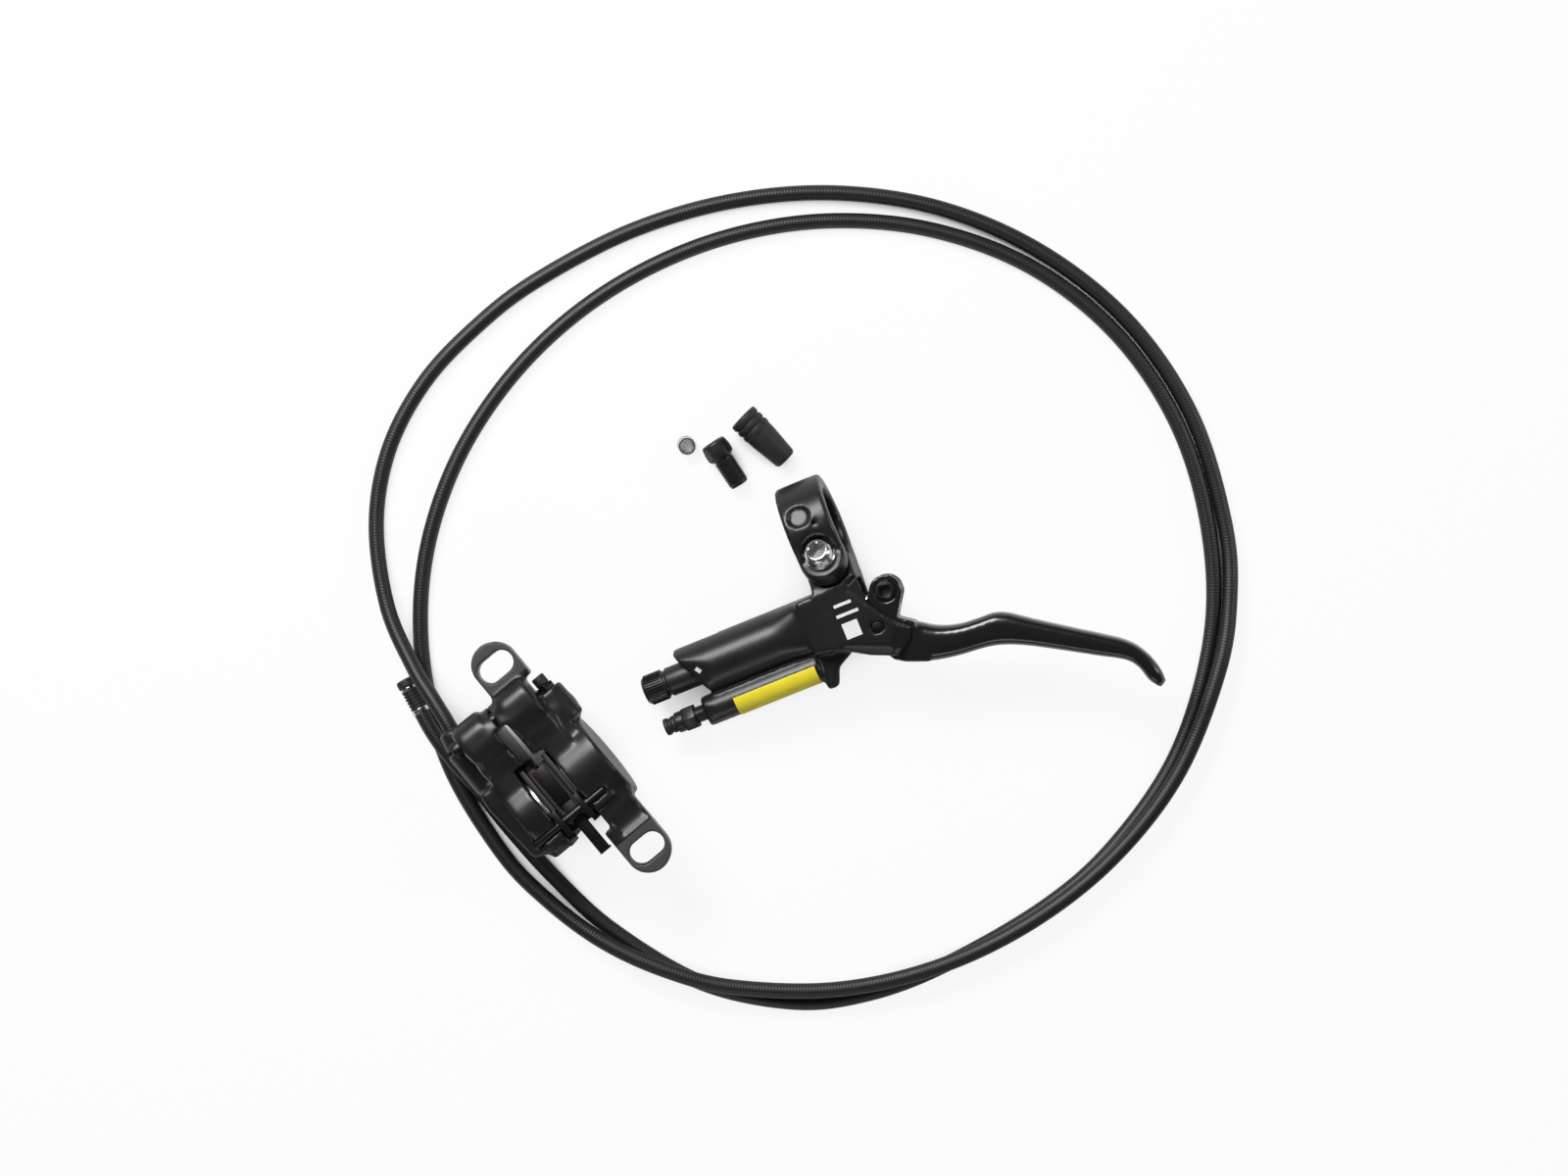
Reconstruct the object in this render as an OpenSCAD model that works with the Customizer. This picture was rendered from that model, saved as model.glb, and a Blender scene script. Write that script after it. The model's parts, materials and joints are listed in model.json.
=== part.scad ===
// Hydraulic disc brake for a bicycle: lever with master cylinder, post-mount caliper, hose and
// the three loose hose fittings. Millimetres, +Z up, everything lies on the plane z = 0.

/* [What to build] */
// One sub-part, or all of them

/* [Interfaces] */
// Handlebar diameter at the lever's clamp
bar_d = 22.2; // [21.8:0.1:22.6]
// Post mount of the caliper, slot to slot
post_spacing = 74; // [70:0.5:80]
// Length of a mounting slot
slot_len = 12.3; // [10:0.1:12.8]
// Width of a mounting slot, for a 6 mm screw
slot_w = 7.5; // [6.4:0.1:8]
// Outer diameter of the hose
hose_d = 5; // [4.6:0.1:5.2]

/* [Placement] */
// Turn of the lever about the vertical
lever_turn = 22; // [0:1:45]
// Tilt of the lever, its clamp end higher
lever_tilt = 8; // [8:1:10]
// Turn of the caliper about the vertical
caliper_turn = -50.2; // [-60:0.1:-40]

/* [Lever end] */
// Outer radius of the bar clamp
clamp_r = 16.2; // [15.8:0.1:17]
// Width of the bar clamp along the bar
clamp_w = 15; // [13:0.5:18]
// Lean of the clamp bolt from the lever's own Z
bolt_lean = 30; // [26:1:34]
// Clamp bolt axis to bar axis
bolt_off = 14.56; // [14.3:0.1:15.5]
// Place of the master cylinder's axis across the lever
cyl_y = -27.8; // [-28.2:0.1:-27.4]
// Height of the master cylinder's axis
cyl_z = 1.5; // [1.2:0.1:1.8]
// Outer radius of the master cylinder
cyl_r = 9; // [8.6:0.1:9.4]
// Bore radius of the master cylinder
master_r = 5.5; // [5.3:0.1:5.9]
// Place of the sensor tube's axis across the lever
sensor_y = -40.9; // [-41.5:0.1:-40.3]
// Outer radius of the sensor tube
sensor_r = 5; // [4.6:0.1:5.4]
// Running clearance of the pins, on the radius
run = 0.05; // [0.03:0.01:0.1]

/* [Caliper end] */
// Piston radius
piston_r = 11; // [10:0.25:11.5]
// Place of the pistons along the caliper
piston_u = 6; // [5:0.25:7]
// Height of the pistons' axis
piston_w = 19; // [18:0.25:20]
// Place of the bridge between the halves
bridge_u = -20.5; // [-21:0.25:-20]
// Height of the bridge
bridge_w = 26.5; // [26:0.25:27]
// Height of the ears' machined faces
ear_face = 30; // [29:0.5:31]
// Thickness of the ears
ear_t = 8; // [6:0.5:10]

/* [Hidden] */
$fn = 48;
origin_shift = [1.648, -1.411, 0];
pivot = [7.75, -35.8];
barrel = [13.9, -26.5];
rotor_v = -10.6;
housing_r = piston_r + 4.5;
groove_r = piston_r + 1.65;
bolt_u = bridge_u - 4.1;
bolt_ws = [bridge_w - 1.3, bridge_w + 4.5];
port = [bridge_u - 2.1, bridge_w + 1.7];
pin_u = piston_u + 8;
pin_w = piston_w + 12;
spring_w = piston_w + 9;
bleed = [7.5, bridge_w - 1.5];
gland = [-25, -26.3, 17];
satin_black = "#26282a";
gloss_black = "#101112";
rubber_black = "#1b1b1c";
steel = "#c9ccd0";
aluminium = "#9fa3a8";
lining_brown = "#5a5048";
yellow = "#f2dd1f";
white = "#eef0f0";

// Frames: the lever's X runs along the handlebar, the caliper's X from upper ear to lower ear.
module lever_frame()
  translate(origin_shift + [2.8, 35.5, 17.25]) rotate([0, 0, lever_turn])
    rotate([0, -lever_tilt, 0]) children();

module caliper_frame()
  translate(origin_shift + [-73.9, -36.3, 0]) rotate([0, 0, caliper_turn]) children();

module bolt_frame() rotate([-bolt_lean, 0, 0]) translate([0, -bolt_off, 0]) children();

// Cylinders along the local axes, from a to b.
module along_x(a, b, y, z, r, r2 = undef)
  translate([a, y, z]) rotate([0, 90, 0]) cylinder(h = b - a, r1 = r, r2 = is_undef(r2) ? r : r2);

module along_y(a, b, x, z, r, r2 = undef)
  translate([x, a, z]) rotate([-90, 0, 0]) cylinder(h = b - a, r1 = r, r2 = is_undef(r2) ? r : r2);

module along_z(a, b, x, y, r, r2 = undef)
  translate([x, y, a]) cylinder(h = b - a, r1 = r, r2 = is_undef(r2) ? r : r2);

module box(lo, hi) translate(lo) cube(hi - lo);

// A (y, z) profile pulled along x.
module yz(a, b) translate([a, 0, 0]) rotate([90, 0, 90]) linear_extrude(b - a) children();

// Lever body: bar clamp, neck, master cylinder, guard plates, sensor tube, reservoir.
module clamp_solid() {
  along_x(-clamp_w / 2, clamp_w / 2, 0, 0, clamp_r);
  bolt_frame() {
    translate([-clamp_w / 2, 0, -6]) cube([clamp_w, 6.5, 13.5]);
    translate([0, 0, -6]) cylinder(h = 13.5, r = clamp_w / 2);
  }
  yz(-clamp_w / 2, clamp_w / 2)
    polygon([[-8, 4.6], [-18.2, 10.5], [-22, 10.8], [-27.8, 10.2], [-27.8, -6], [-22, -8.5],
             [-14, -12], [-6, -14]]);
}

module clamp_cuts() {
  along_x(-9, 9, 0, 0, bar_d / 2);
  bolt_frame() {
    translate([-9, -9, 0]) cube([18, 13.5, 1.3]);
    translate([0, 0, 0.5]) cylinder(h = 12, r = 3.3);
    translate([0, 0, -12]) cylinder(h = 13, r = 3.03);
    translate([0, 0, 7.5]) cylinder(h = 14, r = 5.3);
  }
  rotate([-19.5, 0, 0]) translate([-1.8, 0, 15.7]) cylinder(h = 3, r = 3.5);
  along_z(14, 18, 2.1, 1.8, 0.7);
}

module cylinder_solid() difference() {
  union() {
    along_x(-57, 3.2, cyl_y, cyl_z, cyl_r);
    box([-58.5, -24.5, 3], [-52, -20.2, 6.4]);
  }
  translate([-57, -20.7, -20]) rotate([0, 0, -64]) translate([-30, -30, 0]) cube([80, 30, 60]);
}

module guard_outline() polygon([
  [-14, -19.2], [3, -19.2], [4.7, -23.4], [13.9, -36.8], [17.8, -39.6], [16.4, -43.2],
  [10.1, -46.9], [2.1, -43.4], [-5.7, -38.6], [-14, -37]
]);

module guard_solid() translate([0, 0, -7.3]) linear_extrude(18.3) guard_outline();

module guard_cuts() {
  box([3.2, -60, -4.5], [40, -19.3, 7.5]);
  box([1.6, -60, -4.5], [10, -29, 7.5]);
  along_z(-9, 12, pivot[0], pivot[1], 2);
}

module sensor_solid() {
  along_x(-54.6, -14.3, sensor_y, cyl_z, sensor_r);
  translate([0, 0, -1.5]) linear_extrude(6)
    polygon([[-50, -32], [-14, -30], [0, -38], [-4.5, -41], [-9.4, -43.6], [-11.4, -49],
             [-14.8, -49], [-15.4, -42], [-50, -42]]);
}

module reservoir_solid() box([-43, -36.3, -9.9], [-5, -19.3, -1]);

module reservoir_cuts() {
  box([-37.5, -33.8, -11], [-10.8, -21.8, -6.55]);
  along_z(-7, -3, -15.9, cyl_y, 0.35);
  along_z(-7, -3, -11.5, cyl_y, 0.5);
  for (x = [-40.3, -8]) along_z(-11, -5, x, cyl_y, 1.25);
  along_y(-37, -33, -24, -8.2, 1.3);
}

module lever_body() color(satin_black) lever_frame() difference() {
  union() {
    clamp_solid();
    cylinder_solid();
    guard_solid();
    sensor_solid();
    reservoir_solid();
  }
  clamp_cuts();
  guard_cuts();
  reservoir_cuts();
  along_x(-44, 5, cyl_y, cyl_z, master_r);
  along_x(0.5, 1.5, cyl_y, cyl_z, 6);
  along_x(-47, -43.5, cyl_y, cyl_z, 1);
  along_x(-60, -46.5, cyl_y, cyl_z, 4);
  along_x(-60, -51.2, cyl_y, cyl_z, 4.8);
  along_x(-56, -16, sensor_y, cyl_z, 3);
}

module clamp_bolt() color(steel) lever_frame() bolt_frame() difference() {
  union() {
    translate([0, 0, 7.5]) cylinder(h = 4.4, r = 5);
    translate([0, 0, 11.9]) cylinder(h = 0.7, r1 = 5, r2 = 4.3);
    translate([0, 0, -11.5]) cylinder(h = 19.1, r = 3);
  }
  translate([0, 0, 9.2]) cylinder(h = 5, r = 2.9, $fn = 6);
}

// Blade seen along the pivot, its fork arms and their two round eyes.
module blade_outline() polygon([
    [3.8, -39.2], [8.5, -47.5], [11.8, -49.6], [17.8, -51.9], [23.4, -53.4], [29.3, -54.2],
    [35.3, -54.7], [40.3, -55.6], [45.1, -57.3], [51.5, -60.5], [59, -64.8], [66.5, -69.3],
    [74.1, -73.5], [77, -75.8], [78.9, -78.9], [79.9, -83.2], [81.7, -86.2], [83.3, -87.2],
    [84.6, -85.8], [84.2, -81.1], [82.6, -75.4], [80.4, -71.4], [77.1, -68.1], [72.2, -64.8],
    [66.1, -60.7], [59.4, -56.3], [53.3, -52.3], [48.6, -48.6], [45.8, -46.9], [41.8, -46.1],
    [37.3, -45.9], [31.3, -45.3], [25.2, -43.4], [21.5, -41], [18, -38], [12.1, -34]
  ]);

module fork_outline() polygon([[3.4, -32.9], [9.6, -23.6], [18.2, -29.4], [12.1, -38.7]]);

module lever_blade() color(gloss_black) lever_frame() difference() {
  union() {
    translate([0, 0, -4]) linear_extrude(11) blade_outline();
    translate([0, 0, -4]) linear_extrude(11) fork_outline();
    along_z(-4, 7, pivot[0], pivot[1], 5.2);
    along_z(-4, 7, barrel[0], barrel[1], 5.25);
  }
  box([-2, -31.6, -0.7], [22, -18, 3.7]);
  along_z(-5, 8, pivot[0], pivot[1], 2);
  along_z(-5, 8, barrel[0], barrel[1], 3.35);
  along_z(-5, -0.9, 10.5, -43.5, 2.05);
}

module pivot_pin() color(steel) lever_frame() difference() {
  along_z(-8.9, 10, pivot[0], pivot[1], 2 - run);
  difference() {
    along_z(-8.25, -7.4, pivot[0], pivot[1], 2.4);
    along_z(-8.4, -7.2, pivot[0], pivot[1], 1.5);
  }
}

module pivot_clip() color(steel) lever_frame() translate([pivot[0], pivot[1], -8.1])
  difference() {
    cylinder(h = 0.7, r = 3.6);
    translate([0, 0, -1]) cylinder(h = 3, r = 1.52);
    translate([-1.3, -5, -1]) cube([2.6, 5, 3]);
  }

module barrel_pin() color(aluminium) lever_frame() difference() {
  along_z(-3.6, 6.6, barrel[0], barrel[1], 3.3);
  translate([barrel[0], barrel[1], cyl_z]) rotate([0, 0, 4.2]) along_x(-6, 6, 0, 0, 1.6);
  along_z(5.2, 7, barrel[0], barrel[1], 1.9);
}

module pushrod() color(steel) lever_frame() {
  translate([barrel[0], barrel[1], cyl_z]) rotate([0, 0, 4.2]) along_x(-17.9, 4, 0, 0, 1.59);
  translate([-4, cyl_y, cyl_z]) sphere(r = 2.5);
}

module master_piston() color(aluminium) lever_frame() difference() {
  along_x(-15, 0.3, cyl_y, cyl_z, master_r - 0.08);
  along_x(-6.62, 1, cyl_y, cyl_z, 3);
  difference() {
    along_x(-12.2, -8.6, cyl_y, cyl_z, 6);
    along_x(-12.4, -8.4, cyl_y, cyl_z, 4.2);
  }
  difference() {
    along_x(-6.6, -4.2, cyl_y, cyl_z, 6);
    along_x(-6.8, -4, cyl_y, cyl_z, 4.3);
  }
  difference() {
    along_x(-16, -12.9, cyl_y, cyl_z, 6);
    along_x(-16.2, -12.8, cyl_y, cyl_z, 2.6);
  }
}

module primary_cup() color(rubber_black) lever_frame() difference() {
  along_x(-15.4, -12.9, cyl_y, cyl_z, master_r - 0.02);
  along_x(-16, -12, cyl_y, cyl_z, 2.6);
  along_x(-15.5, -14.4, cyl_y, cyl_z, 4.9, 4.2);
}

module secondary_seal() color(rubber_black) lever_frame() difference() {
  along_x(-6.5, -4.3, cyl_y, cyl_z, master_r - 0.02);
  along_x(-7, -4, cyl_y, cyl_z, 4.3);
}

module return_spring() color(steel) lever_frame() translate([-43.3, cyl_y, cyl_z])
  rotate([0, 90, 0])
    tube([for (i = [0 : 112]) [4.3 * cos(i * 180 / 7), 4.3 * sin(i * 180 / 7), i * 27.2 / 112]],
         0.5, 6);

module piston_ring() color(steel) lever_frame() difference() {
  along_x(0.55, 1.4, cyl_y, cyl_z, 5.95);
  along_x(0, 2, cyl_y, cyl_z, 3.5);
}

module reservoir_diaphragm() color(rubber_black) lever_frame() {
  box([-37.3, -33.6, -9.9], [-11, -22, -9.1]);
  box([-34, -31, -9.2], [-15, -24.6, -7.4]);
}

module reservoir_cover() color(satin_black) lever_frame() difference() {
  box([-43.5, -36.8, -11.3], [-4.5, -18.8, -9.9]);
  for (x = [-40.3, -8]) {
    along_z(-12, -9, x, cyl_y, 1.5);
    along_z(-12, -10.4, x, cyl_y, 2.8);
  }
}

module reservoir_screws() color(steel) lever_frame() for (x = [-40.3, -8])
  difference() {
    union() {
      along_z(-11.25, -10.4, x, cyl_y, 2.7);
      along_z(-10.5, -5.2, x, cyl_y, 1.22);
    }
    translate([x, cyl_y, -12]) cylinder(h = 1.3, r = 1.15, $fn = 6);
  }

module lever_bleed_screw() color(steel) lever_frame() difference() {
  union() {
    along_y(-36.3, -34, -24, -8.2, 1.27);
    along_y(-37.9, -36.3, -24, -8.2, 1.6);
  }
  translate([-24, -38.5, -8.2]) rotate([-90, 0, 0]) cylinder(h = 1.6, r = 0.9, $fn = 6);
}

module port_plug() color(rubber_black) lever_frame() difference() {
  union() {
    along_x(-52, -46.6, cyl_y, cyl_z, 3.97);
    along_x(-69.6, -51.25, cyl_y, cyl_z, 4.75);
    along_x(-70.3, -69.6, cyl_y, cyl_z, 4.1, 4.75);
  }
  for (a = [0 : 18 : 342])
    translate([0, cyl_y, cyl_z]) rotate([a, 0, 0]) box([-69.3, -0.3, 4.4], [-64, 0.3, 6]);
  for (a = [0, 120, 240])
    translate([0, cyl_y, cyl_z]) rotate([a, 0, 0]) box([-63.4, -6, 4.25], [-54, 6, 6]);
}

module sensor_body() color(rubber_black) lever_frame() {
  along_x(-54.6, -17, sensor_y, cyl_z, 2.96);
  along_x(-62, -54.6, sensor_y, cyl_z, 2.5);
  along_x(-64.6, -61.95, sensor_y, cyl_z, 3.35);
}

module sensor_lock_nut() color(satin_black) lever_frame() difference() {
  translate([-61.9, sensor_y, cyl_z]) rotate([0, 90, 0]) cylinder(h = 4.1, r = 4.2, $fn = 6);
  along_x(-63, -57, sensor_y, cyl_z, 2.52);
}

module sensor_cap() color(rubber_black) lever_frame() {
  along_x(-68.1, -64.6, sensor_y, cyl_z, 2.9);
  along_x(-68.7, -68.1, sensor_y, cyl_z, 2.3, 2.9);
}

module sensor_magnet() color(steel) lever_frame() along_z(-3.95, -0.95, 10.5, -43.5, 2.03);

module tube_sticker() color(yellow) lever_frame() translate([-44, sensor_y, cyl_z])
  rotate([0, 90, 0]) rotate([0, 0, 170]) rotate_extrude(angle = 95)
    translate([sensor_r + 0.01, 0]) square([0.14, 28]);

module body_marks() color(white) lever_frame() {
  box([-2.6, -25.6, 11.01], [3.2, -24.4, 11.11]);
  box([-3, -28.9, 11.01], [5, -27.7, 11.11]);
  box([-2.6, -36.4, 11.01], [3.4, -30.6, 11.11]);
  intersection() {
    difference() {
      along_x(-52.4, -50.6, cyl_y, cyl_z, cyl_r + 0.12);
      along_x(-53, -49, cyl_y, cyl_z, cyl_r + 0.01);
    }
    box([-54, -29.2, 5], [-49, -25.8, 12]);
  }
}

// Caliper halves, each with a bridge boss, a piston housing and its half of the pad pocket.
module ear_plate() translate([0, 0, ear_face - ear_t]) linear_extrude(ear_t) {
  square([post_spacing + 1.5, 14.5], center = true);
  for (s = [-1, 1]) translate([s * (post_spacing / 2 + 0.75), 0]) circle(r = 7.25);
}

module ear_slots() for (s = [-1, 1]) translate([s * post_spacing / 2, 0, ear_face - 15])
  linear_extrude(20) {
    square([slot_w, slot_len - slot_w], center = true);
    for (t = [-1, 1]) translate([0, t * (slot_len - slot_w) / 2]) circle(r = slot_w / 2);
  }

module pocket_cuts() {
  box([-30, rotor_v - 2.25, -1], [24, rotor_v + 2.25, 22]);
  box([-21, rotor_v - 2.25, -1], [-7, rotor_v + 2.25, 40]);
  box([-8, rotor_v - 6.1, -1], [25, rotor_v + 6.1, 40]);
  along_y(rotor_v - 0.32, rotor_v + 0.32, port[0], port[1], 1.35);
  for (w = bolt_ws) along_y(-30, 3.1, bolt_u, w, 2.05);
  along_y(-26, 2, pin_u, pin_w, 1.55);
}

module caliper_mount_half() color(satin_black) caliper_frame() difference() {
  union() {
    box([-24, rotor_v, 0], [18, 3.5, 32]);
    along_y(rotor_v, 9, piston_u, piston_w, housing_r);
    along_y(rotor_v, 3.8, bridge_u, bridge_w, 8.5);
    box([-28.9, rotor_v, 15], [-15, 3.7, 27]);
    ear_plate();
    along_x(-21, -9, bleed[0], bleed[1], 4.8);
    box([10, -4.5, 8], [20.6, 8.2, ear_face]);
  }
  pocket_cuts();
  ear_slots();
  along_y(-4.6, 6, piston_u, piston_w, piston_r + run);
  along_y(-1, 1.06, piston_u, piston_w, groove_r);
  along_x(-22, -14, bleed[0], bleed[1], 2.1);
  box([-28.5, bleed[0] - 3.6, ear_face - 12], [-21, 12, ear_face + 1]);
  along_y(-3.5, 9, post_spacing / 2 - 10.8, ear_face + 5, 6.2);
}

module outer_outline() polygon([
  [-9, -12], [-9.1, -29.6], [-3.7, -30.4], [17, -29], [19.4, -23.5], [22.4, -14.8], [21.3, -12]
]);

module caliper_outer_half() color(satin_black) caliper_frame() difference() {
  union() {
    box([-24, -24, 0], [18, rotor_v, 32]);
    along_y(-25.2, rotor_v, piston_u, piston_w, housing_r);
    translate([0, 0, 6.2]) linear_extrude(24.6) outer_outline();
    along_y(-24, rotor_v, bridge_u, bridge_w, 8.5);
    box([-28.9, -24, 15], [-15, rotor_v, 27]);
    along_x(gland[0], -9, gland[1], gland[2], 5.2);
  }
  pocket_cuts();
  along_y(-27.2, -16.6, piston_u, piston_w, piston_r + run);
  along_y(-22.26, -20.2, piston_u, piston_w, groove_r);
  box([-30, -32, -1], [30, -24.6, 5.6]);
  gland_frame() along_x(-8, 1, 0, 0, 3);
  gland_frame() along_x(0.15, 9, 0, 0, 4.7);
}

module gland_frame() translate(gland) rotate([0, 0, 168]) children();

module hose_gland_nut() color(rubber_black) caliper_frame() gland_frame() difference() {
  union() {
    along_x(0.2, 5.4, 0, 0, 4.3);
    along_x(5.4, 6.6, 0, 0, 4.3, 3.4);
    along_x(-6.5, 0.3, 0, 0, 2.97);
  }
  along_x(-4.2, 8, 0, 0, hose_d / 2 + 0.05);
}

module caliper_body_bolts() color(steel) caliper_frame() for (w = bolt_ws) difference() {
  union() {
    along_y(-24, 3, bolt_u, w, 2);
    along_y(-27, -24, bolt_u, w, 2.7);
  }
  translate([bolt_u, -27.5, w]) rotate([-90, 0, 0]) cylinder(h = 2.2, r = 1.6, $fn = 6);
}

module cup(a, b, hollow_to) difference() {
  along_y(a, b, piston_u, piston_w, piston_r);
  along_y(hollow_to[0], hollow_to[1], piston_u, piston_w, piston_r - 2.8);
}

module piston_left() color(aluminium) caliper_frame() cup(-25.95, -15.95, [-24, -15]);
module piston_right() color(aluminium) caliper_frame() cup(-5.25, 4.75, [-6, 2.8]);

module piston_seals() color(rubber_black) caliper_frame() for (v = [-22.23, -0.97]) difference() {
  along_y(v, v + 2, piston_u, piston_w, groove_r - 0.05);
  along_y(v - 1, v + 3, piston_u, piston_w, piston_r + 0.03);
}

module transfer_seal() color(rubber_black) caliper_frame() difference() {
  along_y(rotor_v - 0.3, rotor_v + 0.3, port[0], port[1], 1.3);
  along_y(rotor_v - 1, rotor_v + 1, port[0], port[1], 0.75);
}

module pad_plate(a, b) difference() {
  union() {
    box([piston_u - 12.5, a, piston_w - 10], [piston_u + 14, b, piston_w + 10.5]);
    box([pin_u - 4.5, a, piston_w + 10], [pin_u + 4.5, b, pin_w + 3]);
  }
  along_y(a - 1, b + 1, pin_u, pin_w, 1.75);
}

module pad_lining(a, b) {
  box([piston_u - 11, a, piston_w - 8.5], [piston_u + 12.5, b, piston_w + 8]);
}

module pad_plate_left() color(steel) caliper_frame() pad_plate(-15.95, -14.15);
module pad_plate_right() color(steel) caliper_frame() pad_plate(-7.05, -5.25);
module pad_lining_left() color(lining_brown) caliper_frame() pad_lining(-14.15, -11.75);
module pad_lining_right() color(lining_brown) caliper_frame() pad_lining(-9.45, -7.05);

module pad_spring() color(steel) caliper_frame() difference() {
  union() {
    box([-4, -12.9, spring_w], [10, -8.3, spring_w + 0.5]);
    box([8, -9.8, spring_w], [29.5, -8.3, spring_w + 0.5]);
    box([pin_u - 2, -12.7, spring_w + 0.2], [pin_u + 2, -8.3, pin_w + 2]);
    box([28.9, -9.8, spring_w - 4], [29.5, -8.3, spring_w + 0.5]);
  }
  along_y(-14, -8, pin_u, pin_w, 1.53);
}

module pad_pin() color(steel) caliper_frame() {
  along_y(-25.9, 1.9, pin_u, pin_w, 1.5);
}

module caliper_bleed_screw() color(steel) caliper_frame() {
  along_x(-21, -14.2, bleed[0], bleed[1], 2.07);
  translate([-23, bleed[0], bleed[1]]) rotate([0, 90, 0]) cylinder(h = 2, r = 3.1, $fn = 6);
  along_x(-25, -23, bleed[0], bleed[1], 1.5);
}

module bleed_cap() color(rubber_black) caliper_frame() difference() {
  along_x(-26.4, -23.05, bleed[0], bleed[1], 2.2);
  along_x(-25.1, -22, bleed[0], bleed[1], 1.52);
}

// Hose: [radius, angle, height] about the middle of its loops, from the caliper to the free end.
loop_centre = [-1.5, 13.3, 0];
route = [
  [118.2, 205, 17], [118.6, 202.5, 17], [119.3, 199.5, 16.8], [122, 195, 14.5],
  [126.2, 190, 10.5], [133.5, 181, 5.2], [139.5, 170, 2.7], [141.8, 160, 2.5],
  [140.5, 150, 2.5], [137, 140, 2.5], [133.9, 130, 2.5], [131, 115, 2.5], [130.4, 100, 2.5],
  [131.6, 85, 2.5], [133.9, 70, 2.5], [136.2, 55, 2.5], [138.4, 40, 2.5], [139.2, 25, 2.5],
  [138.8, 10, 2.6], [138, 0, 4.3], [136, -10, 6.8], [133.2, -25, 7.6], [129.9, -40, 7.7],
  [127.2, -55, 7.7], [126, -70, 7.7], [125.9, -85, 7.7], [126.6, -100, 7.7],
  [127, -110, 7.7], [127.4, -120, 6], [127.2, -130, 3.4], [126.8, -140, 2.5],
  [125.8, -155, 2.5], [124.1, -170, 2.5], [122.4, -185, 2.5], [120.3, -200, 2.5],
  [118.4, -215, 2.5], [117.5, -230, 2.5], [117.8, -245, 2.5], [119.6, -260, 2.5],
  [122.6, -275, 2.5], [126.5, -290, 2.5], [130.4, -305, 2.5], [132.9, -320, 2.5],
  [133.8, -335, 2.5], [133.3, -350, 2.5], [132.8, -365, 2.5], [131.2, -382, 2.5],
  [128.7, -398, 2.5], [126.8, -412, 2.5], [127.2, -430, 2.5], [129.6, -442, 2.5],
  [130.2, -452, 2.5], [128, -465, 2.5], [123.1, -480, 2.5], [120.2, -492, 2.5],
  [119.8, -502, 2.6], [120.6, -508.5, 3.8], [122.4, -513, 6.4], [124.4, -517, 7.7],
  [126.2, -520.5, 7.7], [127.4, -523.3, 7.3]
];

function at(p) = loop_centre + origin_shift + [p[0] * cos(p[1]), p[0] * sin(p[1]), p[2]];
function spline(a, b, c, d, t) =
  0.5 * ((2 * b) + (c - a) * t + (2 * a - 5 * b + 4 * c - d) * t * t
         + (3 * b - a - 3 * c + d) * t * t * t);
function clip(i, n) = max(0, min(n - 1, i));
way = [for (p = route) at(p)];
count = len(way);
path = [
  for (i = [0 : count - 2], t = [0, 0.5])
    if (t == 0 || norm(way[i + 1] - way[i]) > 24)
      spline(way[clip(i - 1, count)], way[i], way[i + 1], way[clip(i + 2, count)], t),
  way[count - 1]
];

function unit(v) = v / norm(v);
function heading(p, i) = unit(p[clip(i + 1, len(p))] - p[clip(i - 1, len(p))]);
function ring(p, i, r, n) =
  let (t = heading(p, i), s = unit(cross(t, [0, 0, 1])), u = cross(s, t))
    [for (k = [0 : n - 1]) p[i] + r * (s * cos(360 * k / n) + u * sin(360 * k / n))];

// A round wire or hose of radius r and n sides along the points p.
module tube(p, r, n) {
  last = len(p) - 1;
  polyhedron(
    points = [for (i = [0 : last], q = ring(p, i, r, n)) q],
    faces = concat(
      [[for (k = [0 : n - 1]) k]],
      [for (i = [0 : last - 1], k = [0 : n - 1])
        let (a = i * n + k, b = i * n + (k + 1) % n) [a, a + n, b]],
      [for (i = [0 : last - 1], k = [0 : n - 1])
        let (a = i * n + k, b = i * n + (k + 1) % n) [b, a + n, b + n]],
      [[for (k = [n - 1 : -1 : 0]) last * n + k]]
    )
  );
}

module brake_hose() color(rubber_black) tube(path, hose_d / 2, 10);

tip = heading(path, len(path) - 1);
module hose_tip_frame()
  translate(way[count - 1]) rotate([0, acos(tip[2]), atan2(tip[1], tip[0])]) children();

module hose_bands() color(steel) hose_tip_frame() {
  translate([0, 0, 0.05]) cylinder(h = 1.5, r = hose_d / 2 + 0.35);
  translate([0, 0, 8.4]) cylinder(h = 0.9, r = hose_d / 2 + 0.25);
}

module hose_sleeve() color(rubber_black) hose_tip_frame() {
  translate([0, 0, 1.55]) cylinder(h = 6.85, r = hose_d / 2 - 0.15);
  for (z = [2 : 1.2 : 7]) translate([0, 0, z]) cylinder(h = 0.6, r = hose_d / 2 + 0.2);
}

module hose_end_cap() color(rubber_black) hose_tip_frame() {
  translate([0, 0, 9.3]) cylinder(h = 2, r = hose_d / 2 + 0.4);
  translate([0, 0, 11.3]) cylinder(h = 0.8, r1 = hose_d / 2 + 0.4, r2 = hose_d / 2 - 0.3);
}

// Loose fittings, each tipped so that it rests on its own two rims.
module lay(x, y, z, tip, turn)
  translate(origin_shift + [x, y, z]) rotate([0, 0, turn]) rotate([0, tip, 0]) children();

module loose_olive() color(steel) lay(-38.7, 62.9, 2.9, 0, -57) difference() {
  along_x(-2.3, 2.3, 0, 0, 2.9);
  along_x(-3, 3, 0, 0, 2.55);
  difference() {
    along_x(0.6, 1.2, 0, 0, 3.2);
    along_x(0.4, 1.4, 0, 0, 2.72);
  }
}

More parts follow.
